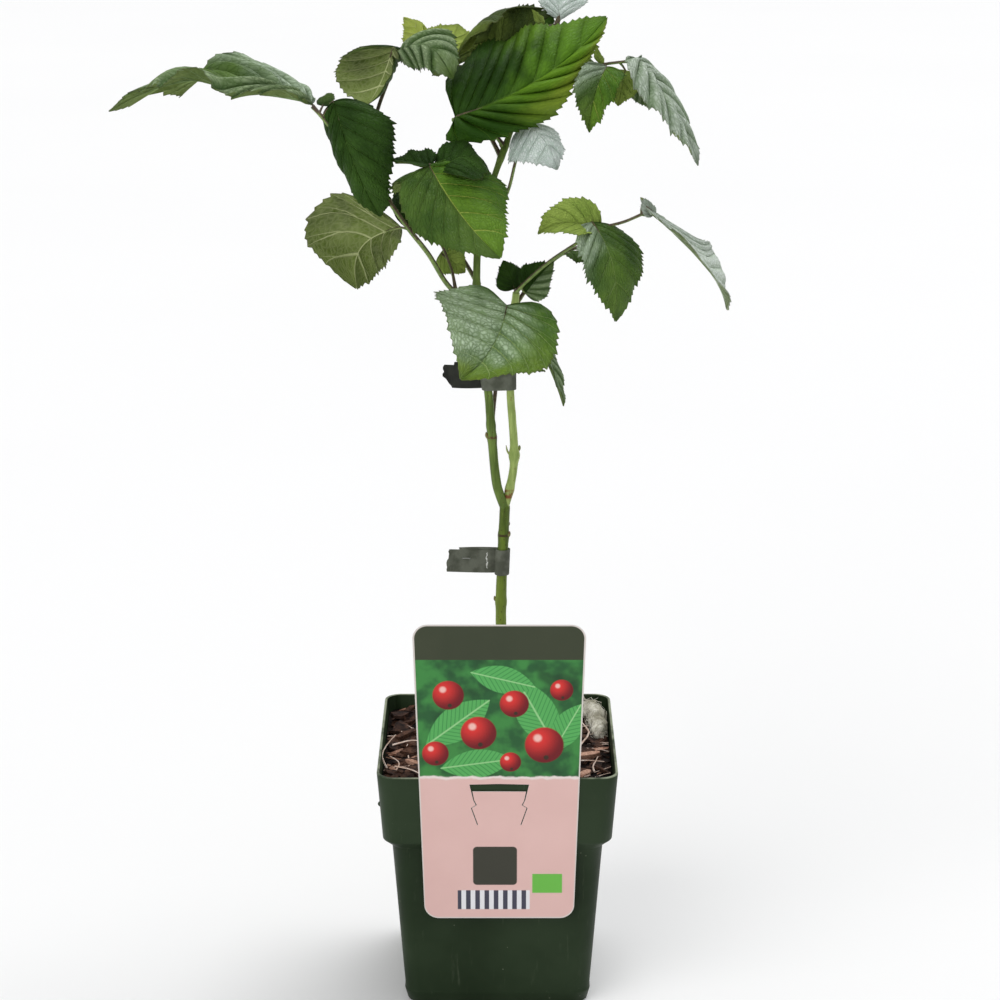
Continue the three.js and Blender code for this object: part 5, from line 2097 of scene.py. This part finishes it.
def chip(name: str, long: float, wide: float, thick: float, seed: int) -> Object:
    """One split chip: a slim box with ragged corners.

    Args:
        name: Name of the object.
        long: Its length.
        wide: Its width.
        thick: Its thickness.
        seed: Seed of its corners.

    Returns:
        The chip, which lies at the origin.
    """
    draw = random.Random(seed)
    rings = []
    for share in (0.0, 0.3, 0.7, 1.0):
        taper = 0.55 if share in (0.0, 1.0) else 1.0
        half_wide = wide / 2 * taper * draw.uniform(0.7, 1.2)
        half_thick = thick / 2 * taper * draw.uniform(0.7, 1.2)
        shift = draw.uniform(-0.15, 0.15) * wide
        rings.append([((share - 0.5) * long + draw.uniform(-0.06, 0.06) * long, shift + y * half_wide,
                       z * half_thick + 0.25 * thick) for y, z in ((1, 1), (-1, 1), (-1, -1), (1, -1))])
    return Shape().loft(rings).build(name, sharp=20.0)


def straw(name: str, long: float, radius: float, bend: float, seed: int) -> Object:
    """One bent straw or fibre.

    Args:
        name: Name of the object.
        long: Its length.
        radius: Its radius.
        bend: How far its middle lies aside.
        seed: Seed of its path.

    Returns:
        The straw, which lies at the origin.
    """
    draw = random.Random(seed)
    path = SmoothPath([
        ((share - 0.5) * long, bend * math.sin(math.pi * share) + draw.uniform(-0.3, 0.3) * bend,
         radius + draw.uniform(0.0, 0.25) * abs(bend)) for share in (0, 0.33, 0.66, 1)])
    rings = tube_rings(path, 6, 4, lambda share: radius * (1 - 0.5 * share))
    return Shape().loft(rings).build(name, sharp=60.0)


@dataclass(frozen=True)
class Litter:
    """A kind of small thing on the soil: its maker, sizes, first seed, finish, density, scales and seed."""

    name: str
    make: Callable[..., Object]
    sizes: tuple[Point, ...]
    first_seed: int
    finish: EarthFinish
    density: float
    smallest: float
    largest: float
    tilt: Pair
    seed: int


@dataclass(frozen=True)
class LooseBit:
    """A single chip or straw: its place, heading and slope in degrees, sizes and finish."""

    place: Point
    heading: float
    slope: float
    sizes: Point
    finish: int = 0


@dataclass
class Soil:
    """Potting soil with bark chips, wood chips, straws and a felt of pale fibres."""

    pot: Pot
    top: float = 131.0
    crown: float = 132.0
    gap: float = 0.3
    arc: int = 16
    straight: int = 44
    rings: int = 46
    lump: float = 1.5
    wall_room: float = 0.5
    litter: tuple[Litter, ...] = (
        Litter("bark_chips", chip,
               ((9, 4.2, 1.4), (7, 5.0, 1.8), (13, 3.2, 1.2), (5, 3.4, 2.2), (12, 8.5, 2.6)), 0,
               BARK_CHIP, 30_000, 0.5, 1.45, (0.4, 0.3), 3),
        Litter("wood_chips", chip, ((16, 2.2, 1.0), (10, 3.6, 1.2), (13, 1.6, 1.0)), 20,
               WOOD_CHIP, 5_000, 0.45, 1.1, (0.35, 0.35), 4),
        Litter("straws", straw, ((30, 0.42, 3.5), (19, 0.32, -3.0), (24, 0.5, 1.6), (12, 0.36, 2.4)), 40,
               STRAW, 9_000, 0.5, 1.1, (0.4, 0.3), 5),
    )
    felt: Litter = Litter("felt_fibres", straw, ((9, 0.15, 2.5), (11, 0.15, -3.0), (7, 0.15, 1.2)), 60,
                          FELT, 420_000, 0.4, 1.1, (0.2, 0.2), 6)
    large_chips: tuple[LooseBit, ...] = (
        LooseBit((49, -21, 135), 14, -8, (17, 4.6, 2.2)),
        LooseBit((-55, 41, 135), 70, 6, (11, 8.5, 3.0), 1),
        LooseBit((47, -47, 134.5), 60, -5, (10, 6.0, 2.4)),
        LooseBit((-46, -30, 134.5), -35, 6, (9, 3.4, 2.0)),
        LooseBit((-50, 12, 135), 25, -10, (14, 5.0, 2.4), 1),
        LooseBit((22, 46, 134.5), -20, 5, (13, 5.0, 2.0)),
        LooseBit((-20, 34, 134.5), 50, -6, (15, 6.5, 2.6), 1),
    )
    long_fibres: tuple[LooseBit, ...] = (
        LooseBit((-59, -18, 136), 84, -9, (36, 0.5, 4.0)),
        LooseBit((-57, -34, 135.5), 100, 4, (24, 0.45, -3.0)),
        LooseBit((-47, -48, 135.5), -38, 6, (22, 0.55, 2.5)),
        LooseBit((-50, -6, 136), 12, -6, (17, 0.6, 4.0)),
        LooseBit((46, 4, 136), 80, -10, (30, 0.7, -4.0)),
        LooseBit((52, -32, 136), 4, 5, (13, 0.5, 1.0)),
        LooseBit((54, -36, 136), 82, -8, (16, 0.5, 1.5)),
        LooseBit((10, 42, 136), 35, 6, (30, 0.45, 5.0)),
        LooseBit((-24, -40, 135.5), -12, -5, (26, 0.45, 4.0)),
    )
    loose_seed: int = 80
    felt_path: tuple[Point, ...] = (
        (40, 52, 134), (49, 50, 136.5), (55, 40, 137), (57, 26, 135.5), (57, 12, 133.5))
    felt_radius: float = 4.6

    def _ring(self, half: float, height: float) -> Array:
        """Ring of points with the pot's round corners, a gap inside its wall."""
        corner = self.pot.corner - self.pot.wall - self.gap
        return rounded_square(half - self.gap, corner, height, self.arc, self.straight)

    def _surface(self, outer: float, inner: float) -> list[Array]:
        """Rings of the uneven top.

        Args:
            outer: Share of the way out to the wall that the first ring has.
            inner: Share that the last ring has.

        Returns:
            The rings, from the wall inwards.
        """
        outline = self._ring(self.pot.inside_half(self.top), self.top)
        rings = []
        for share in np.linspace(outer, inner, self.rings):
            ring = outline.copy()
            ring[:, :2] *= share
            for point in ring:
                spot = Vector((point[0], point[1], 0.0))
                lumps = noise.fractal(spot * 0.07, 0.8, 2.0, 6) * self.lump
                lumps += abs(noise.noise(spot * 0.35)) * 0.9
                rise = (self.crown - self.top) * min(1.0, (1 - share) * 4)
                point[2] = self.top + rise + lumps * min(1.0, (1.02 - share) * 12)
            rings.append(ring)
        return rings

    def _body(self) -> Shape:
        """The whole body of soil, closed under its top.

        Returns:
            The body.
        """
        pot = self.pot
        sides = [self._ring(half - pot.wall, height) for height, half in (
            (pot.floor + self.gap, pot.foot_half), (pot.body_top + pot.wall, pot.body_top_half),
            (pot.collar_foot + pot.wall, pot.collar_foot_half))]
        return Shape().loft(sides + self._surface(1.0, 0.01))

    def _tuck(self, piece: Object) -> None:
        """Moves each strewn shape inwards by as much as it would pass the pot's wall.

        Args:
            piece: Mesh of many separate shapes, each with its corners in one run.
        """
        mesh = piece.data
        spots = np.empty(len(mesh.vertices) * 3)
        mesh.vertices.foreach_get("co", spots)
        spots = spots.reshape(-1, 3) / MM
        ends = np.empty(len(mesh.edges) * 2, int)
        mesh.edges.foreach_get("vertices", ends)
        ends = ends.reshape(-1, 2)
        crossing = np.zeros(len(spots) + 1, int)
        np.add.at(crossing, ends.min(axis=1) + 1, 1)
        np.add.at(crossing, ends.max(axis=1) + 1, -1)
        starts = np.flatnonzero(np.cumsum(crossing)[:-1] == 0)
        edge = self.pot.inside_half(self.top - 3) - self.wall_room
        corner = edge - self.pot.corner
        for first, last in zip(starts, [*starts[1:], len(spots)]):
            own = spots[first:last, :2]
            own -= np.maximum(own.max(axis=0) - edge, 0)
            own += np.maximum(-edge - own.min(axis=0), 0)
            away = np.linalg.norm(np.maximum(np.abs(own) - corner, 0), axis=1) - self.pot.corner
            worst = int(away.argmax())
            if away[worst] > 0:
                own -= np.sign(own[worst]) * away[worst]
        mesh.vertices.foreach_set("co", (spots * MM).ravel())
        mesh.update()

    def _strew(self, scatter: Scatter, surface: Object, kind: Litter, material: Material) -> None:
        """Strews one kind of thing, keeps it inside the pot and dresses it.

        Args:
            scatter: Tree that strews it.
            surface: What it lies on.
            kind: The kind of thing.
            material: Its finish.
        """
        shapes = [kind.make(f"{kind.name}_{number}", *sizes, kind.first_seed + number)
                  for number, sizes in enumerate(kind.sizes)]
        x, y = kind.tilt
        piece = scatter.bake(kind.name, surface, shapes, Strewing(
            kind.density, kind.smallest, kind.largest, (-x, -y, 0.0), (x, y, 6.28), kind.seed, material))
        self._tuck(piece)
        dress(piece, "soil")

    def _lay(self, name: str, bits: Sequence[LooseBit], make: Callable[..., Object],
             materials: Sequence[Material]) -> None:
        """Lays single chips or straws in named places and dresses them.

        Args:
            name: Name of the piece that they make together.
            bits: Their places and sizes.
            make: Function that builds one.
            materials: Finishes that their slots choose from.
        """
        whole = Shape()
        for number, bit in enumerate(bits):
            one = make(f"{name}_{number}", *bit.sizes, self.loose_seed + number)
            turn = Matrix.Rotation(math.radians(bit.heading), 3, "Z") @ Matrix.Rotation(
                math.radians(bit.slope), 3, "Y")
            points = np.array([turn @ (corner.co / MM) for corner in one.data.vertices]) + np.array(bit.place)
            whole.body(points, [tuple(face.vertices) for face in one.data.polygons], bit.finish)
            bpy.data.objects.remove(one)
        dress(whole.build(name, materials), "soil")

    def _felt(self, scatter: Scatter) -> None:
        """A matted clump of pale fibres at the back right.

        Args:
            scatter: Tree that strews its fibres.
        """
        def wobble(share: float, turn: float) -> float:
            """Uneven surface of the clump."""
            return 2.4 * noise.noise(Vector((math.cos(turn) * 0.9, math.sin(turn) * 0.9, share * 7)))

        rings = tube_rings(SmoothPath(self.felt_path), 30, 20, lambda share: self.felt_radius * math.sin(
            math.pi * (0.12 + 0.78 * share)) ** 0.6, wobble)
        material = FELT.material()
        surface = Shape().loft(rings).build("felt_clump", [material])
        self._strew(scatter, surface, self.felt, material)
        dress(surface, "soil")

    def build(self, scatter: Scatter) -> None:
        """Builds the soil and strews its chips, straws and fibres.

        Args:
            scatter: Tree that strews them.
        """
        dress(self._body().build("soil_body", [SOIL_BODY.material()], 60.0), "soil", "soil")
        rings = np.array(self._surface(0.97, 0.16))
        faces = ring_faces(len(rings), rings.shape[1])
        ground = Shape().add(rings.reshape(-1, 3), faces).build("chip_ground")
        bark, wood, straws = (kind.finish.material() for kind in self.litter)
        for kind, material in zip(self.litter, (bark, wood, straws)):
            self._strew(scatter, ground, kind, material)
        self._lay("large_chips", self.large_chips, chip, [wood, bark])
        self._lay("long_fibres", self.long_fibres, straw, [straws])
        self._felt(scatter)
        bpy.data.objects.remove(ground)


@dataclass(frozen=True)
class LabelOutline:
    """The card's outline and slot in its own plane, with heights measured from the pot's rim."""

    top: float = 89.4
    foot: float = -84.2
    top_half: float = 45.6
    foot_half: float = 40.8
    corner: float = 8.0
    corner_steps: int = 12
    slot_top: float = -3.0
    slot_foot: float = -7.5
    cut: float = 0.5
    tongue: tuple[Pair, ...] = ((16.0, -3.4), (13.9, -12.8), (12.6, -15.6), (15.2, -17.4), (11.9, -27.5))

    def card(self) -> list[Pair]:
        """Corners and arcs of the card, counterclockwise.

        Returns:
            Points across and up.
        """
        points = []
        for index, (x, height, right, up) in enumerate((
            (self.foot_half, self.foot, 1, -1), (self.top_half, self.top, 1, 1),
            (-self.top_half, self.top, -1, 1), (-self.foot_half, self.foot, -1, -1),
        )):
            for step in range(self.corner_steps + 1):
                angle = math.radians(-90 + 90 * index) + math.pi / 2 * step / self.corner_steps
                points.append((x - right * self.corner + self.corner * math.cos(angle),
                               height - up * self.corner + self.corner * math.sin(angle)))
        return points

    def slot(self) -> list[Pair]:
        """The slot with the two cuts that free the tongue, right half and then left.

        Returns:
            Points across and up.
        """
        inner = [(x - self.cut, height) for x, height in self.tongue[:0:-1]]
        right = [*self.tongue, *inner, (self.tongue[0][0] - 1.6, self.slot_foot)]
        half = [(0.0, self.slot_top), *right, (0.0, self.slot_foot)]
        return half + [(-x, height) for x, height in reversed(right)]


@dataclass
class Label:
    """The hang label in front of the pot, with its slot and tongue."""

    pot: Pot
    outline: LabelOutline = LabelOutline()
    thick: float = 0.6
    bevel: float = 0.12
    middle: float = 1.0
    gap: float = 0.3
    header_foot: float = 69.4
    picture_foot: float = 0.0
    print_edge: float = 0.25
    fruits: tuple[PrintedFruit, ...] = (
        PrintedFruit(-27.0, 49.0, 8.2), PrintedFruit(-11.0, 27.0, 9.4), PrintedFruit(24.0, 20.0, 10.2),
        PrintedFruit(8.0, 44.0, 7.6), PrintedFruit(33.0, 52.0, 6.0), PrintedFruit(-34.0, 15.0, 7.0),
        PrintedFruit(6.0, 10.0, 5.6))
    leaves: tuple[PrintedLeaf, ...] = (
        PrintedLeaf(-22.0, 33.0, 22.0, 10.0, 38.0), PrintedLeaf(20.0, 38.0, 24.0, 11.0, 118.0),
        PrintedLeaf(2.0, 58.0, 18.0, 8.0, -14.0), PrintedLeaf(36.0, 30.0, 16.0, 8.0, 62.0),
        PrintedLeaf(-12.0, 9.0, 20.0, 8.5, 8.0))
    dark_panel: Panel = Panel(-2.3, -52.2, 11.9, 11.6, 2.2)
    green_panel: Panel = Panel(26.0, -62.9, 8.1, 5.8, 0.3)
    stripe_panel: Panel = Panel(-3.0, -72.9, 19.6, 5.8, 0.3)

    def _card(self) -> bpy.types.Mesh:
        """The flat card, cut from a curve.

        Returns:
            The mesh, with its printed side up.
        """
        curve = bpy.data.curves.new("label_curve", "CURVE")
        curve.dimensions = "2D"
        curve.fill_mode = "BOTH"
        curve.extrude = (self.thick / 2 - self.bevel) * MM
        curve.bevel_depth = self.bevel * MM
        curve.bevel_resolution = 2
        curve.offset = -self.bevel * MM
        for outline in (self.outline.card(), self.outline.slot()):
            spline = curve.splines.new("POLY")
            spline.points.add(len(outline) - 1)
            for point, (x, height) in zip(spline.points, outline):
                point.co = (x * MM, height * MM, 0.0, 1.0)
            spline.use_cyclic_u = True
        flat = place("label_flat", curve)
        mesh = baked(flat)
        bpy.data.objects.remove(flat)
        return mesh

    def build(self) -> None:
        """Cuts the card, seats it on the collar's lean and dresses it."""
        pot = self.pot
        lean = math.atan((pot.rim_half - pot.collar_foot_half) / (pot.height - pot.collar_foot))
        mesh = self._card()
        mesh.materials.clear()
        mesh.materials.append(PrintFinish(self, lean).material())
        mesh.materials.append(CARD.material())
        for polygon in mesh.polygons:
            polygon.material_index = 0 if polygon.normal.z > 0.9 else 1
        seat = Matrix.Translation(Vector((self.middle, -pot.rim_half - self.gap, pot.height)) * MM)
        lift = Matrix.Translation(Vector((0, 0, self.thick / 2)) * MM)
        mesh.transform(seat @ Matrix.Rotation(math.pi / 2 + lean, 4, "X") @ lift)
        dress(place("label_card", mesh), "label", "label")


@dataclass(frozen=True)
class Tie:
    """One tape tie: its band's heights, the reach and slant of its tail and the limbs it holds."""

    node: str
    foot: float
    top: float
    tail: float
    tail_y: float
    slant: float
    limbs: tuple[Limb, ...]
    tail_finish: TapeFinish = TAPE
    staple: bool = False


@dataclass
class Ties:
    """The tape ties round the stem and canes."""

    ties: tuple[Tie, ...] = (
        Tie("tie_upper", 337.8, 352.0, -29.0, 3.1, -5.0, (CANE_LEFT, CANE_RIGHT), TAPE_SHADOW),
        Tie("tie_lower", 234.0, 248.3, -27.5, 2.6, 1.2, (STEM,), staple=True),
    )
    thick: float = 0.8
    slack: float = 0.35
    layer: float = 0.36
    levels: int = 13
    arc: int = 16
    tail_steps: int = 22
    tail_rows: int = 10
    tail_start: float = 0.5
    tail_front: float = 0.25
    layers_apart: float = 0.45
    second_short: float = 5.5
    staple_in: float = 10.5
    staple_up: float = 1.2
    sharp: float = 40.0

    def _outline(self, tie: Tie, height: float, offset: float) -> Rows:
        """Ring of points round the limbs.

        Args:
            tie: The tie.
            height: Height of the ring.
            offset: How far it lies from the bark.

        Returns:
            The points.
        """
        ring = []
        for limb, start in ((tie.limbs[-1], -math.pi / 2), (tie.limbs[0], math.pi / 2)):
            (x, y, _), radius = limb.at(height)
            for step in range(self.arc + 1):
                angle = start + math.pi * step / self.arc
                crease = 0.12 * noise.noise(Vector((angle * 1.5, height * 0.12, 3.0)))
                reach = radius + offset + crease
                ring.append((x + reach * math.cos(angle), y + reach * math.sin(angle), height))
        return ring

    def _band(self, tie: Tie) -> Shape:
        """The closed band.

        Args:
            tie: The tie.

        Returns:
            The shape that gathers the tie.
        """
        levels = np.linspace(tie.foot, tie.top, self.levels)
        outer = [self._outline(tie, level, self.slack + self.thick) for level in levels]
        inner = [self._outline(tie, level, self.slack) for level in levels[::-1]]
        rings = np.array(outer + inner)
        count, sides, _ = rings.shape
        faces = np.array(ring_faces(count + 1, sides)) % (count * sides)
        return Shape().body(rings.reshape(-1, 3), faces.tolist())

    def _tail(self, shape: Shape, tie: Tie, span: Pair, heights: Pair, depth: float, seed: int) -> None:
        """Adds one layer of the tail, with a torn slanted end and gentle waves.

        Args:
            shape: Shape that gathers the tie.
            tie: The tie.
            span: Where the layer leaves the band, and where it ends at mid height.
            heights: Heights of its lower and upper edge.
            depth: Its place from front to back.
            seed: Seed of its torn end.
        """
        draw = random.Random(seed)
        (start, end), (foot, top) = span, heights
        side = math.copysign(1.0, tie.slant)
        rises = [row / self.tail_rows for row in range(self.tail_rows + 1)]
        tears = [draw.uniform(-0.6, 0.5) + abs(tie.slant) * max(0.0, side * (2 * rise - 1)) for rise in rises]
        middle = [(start + (end + tear - start) * share,
                   depth + 0.35 * math.sin(4.2 * share + 0.8 * rise + seed) * share,
                   foot + (top - foot) * rise + 0.25 * math.sin(3 * share + seed))
                  for share in np.arange(self.tail_steps + 1) / self.tail_steps
                  for rise, tear in zip(rises, tears)]
        half = np.array([0.0, self.layer / 2, 0.0])
        faces, _ = slab_faces(self.tail_steps + 1, self.tail_rows + 1)
        shape.body(np.vstack([middle - half, middle + half]), faces, 1)

    @staticmethod
    def _staple(name: str, x: float, height: float, y: float) -> None:
        """A small wire staple through both layers of a tail, round a middle.

        Args:
            name: Name of the piece.
            x: Its middle across.
            height: Its height.
            y: The front of the tail.
        """
        path = SmoothPath((
            (x - 2.2, y + 0.6, height), (x - 2.1, y - 0.55, height), (x, y - 0.75, height + 0.1),
            (x + 2.1, y - 0.55, height), (x + 2.2, y + 0.6, height)))
        wire = Shape().loft(tube_rings(path, 20, 8, lambda share: 0.22))
        dress(wire.build(name, [STEEL.material()]), "tape")

    def build(self) -> None:
        """Builds and dresses both ties."""
        finishes = {finish: finish.material() for finish in (TAPE, TAPE_SHADOW)}
        for number, tie in enumerate(self.ties):
            shape = self._band(tie)
            middle = (tie.foot + tie.top) / 2
            centre, _ = tie.limbs[0].at(middle)
            front = centre[1] + tie.tail_y - self.tail_front
            start = centre[0] + self.tail_start
            self._tail(shape, tie, (start, tie.tail), (tie.foot + 0.2, tie.top - 1.2), front, 3 + number)
            self._tail(shape, tie, (start, tie.tail + self.second_short), (tie.foot + 0.6, tie.top),
                       front + self.layers_apart, 5 + number)
            materials = [finishes[TAPE], finishes[tie.tail_finish]]
            dress(shape.build(f"{tie.node}_tape", materials, self.sharp), "tape", tie.node)
            if tie.staple:
                self._staple(
                    f"{tie.node}_staple", tie.tail + self.staple_in, middle + self.staple_up, front)


@dataclass
class Studio:
    """Camera, pale floor and soft lights."""

    camera_place: Point = (1.4, -1430.42, 695.49)
    pitch: float = 0.285175
    focal_pixels: float = 2740.43
    image_pixels: float = 1000.0
    sensor: float = 36.0
    floor_half: float = 30_000.0
    target: Point = (0.0, 0.0, 320.0)
    light_angle: float = 50.0

    def camera(self) -> None:
        """Places the camera at the photograph's viewing angle."""
        data = bpy.data.cameras.new("camera")
        data.sensor_width = self.sensor
        data.lens = self.focal_pixels / self.image_pixels * self.sensor
        data.clip_end = 200.0
        made = place("camera", data)
        made.location = Vector(self.camera_place) * MM
        made.rotation_euler = Euler((math.pi / 2 - self.pitch, 0.0, 0.0))
        bpy.context.scene.camera = made

    def light(self, name: str, spot: Point, strength: float, colour: Colour) -> None:
        """Adds an even, very broad light aimed at the plant.

        Args:
            name: Name of the light.
            spot: Which way it comes from.
            strength: Strength on a face turned to it.
            colour: Colour of its light.
        """
        data = bpy.data.lights.new(name, "SUN")
        data.angle = math.radians(self.light_angle)
        data.energy = strength
        data.color = colour
        made = place(name, data)
        made.location = Vector(spot) * MM
        made.rotation_euler = (Vector(self.target) * MM - made.location).to_track_quat("-Z", "Y").to_euler()

    def floor(self) -> None:
        """Adds the plain pale floor."""
        half = self.floor_half
        corners = [(-half, -half, 0), (half, -half, 0), (half, half, 0), (-half, half, 0)]
        graph = Graph("floor_paint")
        material = graph.finish(graph.mix(graph.noise(900.0), (244, 244, 244), (240, 240, 241)), 0.85)
        Shape().add(np.array(corners), [(0, 1, 2, 3)]).build("floor", [material])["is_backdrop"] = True

    def build(self) -> None:
        """Sets up the whole studio."""
        self.camera()
        self.floor()
        self.light("top", (500, 700, 1900), 1.9, (1.0, 1.0, 1.0))
        self.light("key", (-1100, -1300, 1500), 1.1, (1.0, 0.99, 0.97))
        world = bpy.data.worlds.new("studio")
        world.use_nodes = True
        background = world.node_tree.nodes["Background"]
        background.inputs["Color"].default_value = (0.98, 0.99, 1.0, 1.0)
        background.inputs["Strength"].default_value = 0.4
        bpy.context.scene.world = world
        bpy.context.scene.view_settings.view_transform = "Standard"


def main(solids_box: tuple[Vector, Vector]) -> None:
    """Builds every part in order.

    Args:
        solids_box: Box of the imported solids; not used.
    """
    logging.basicConfig(level=logging.INFO, format="%(message)s")
    Studio().build()
    scatter = Scatter("strew")
    pot = Pot()
    pot.build()
    Soil(pot).build(scatter)
    Label(pot).build()
    canes = Canes()
    canes.build()
    Ties().build()
    foliage = Foliage()
    foliage.build()
    FineHairs().build(scatter, foliage.stalks, canes.shape)


if __name__ == "__main__":
    main(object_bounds())
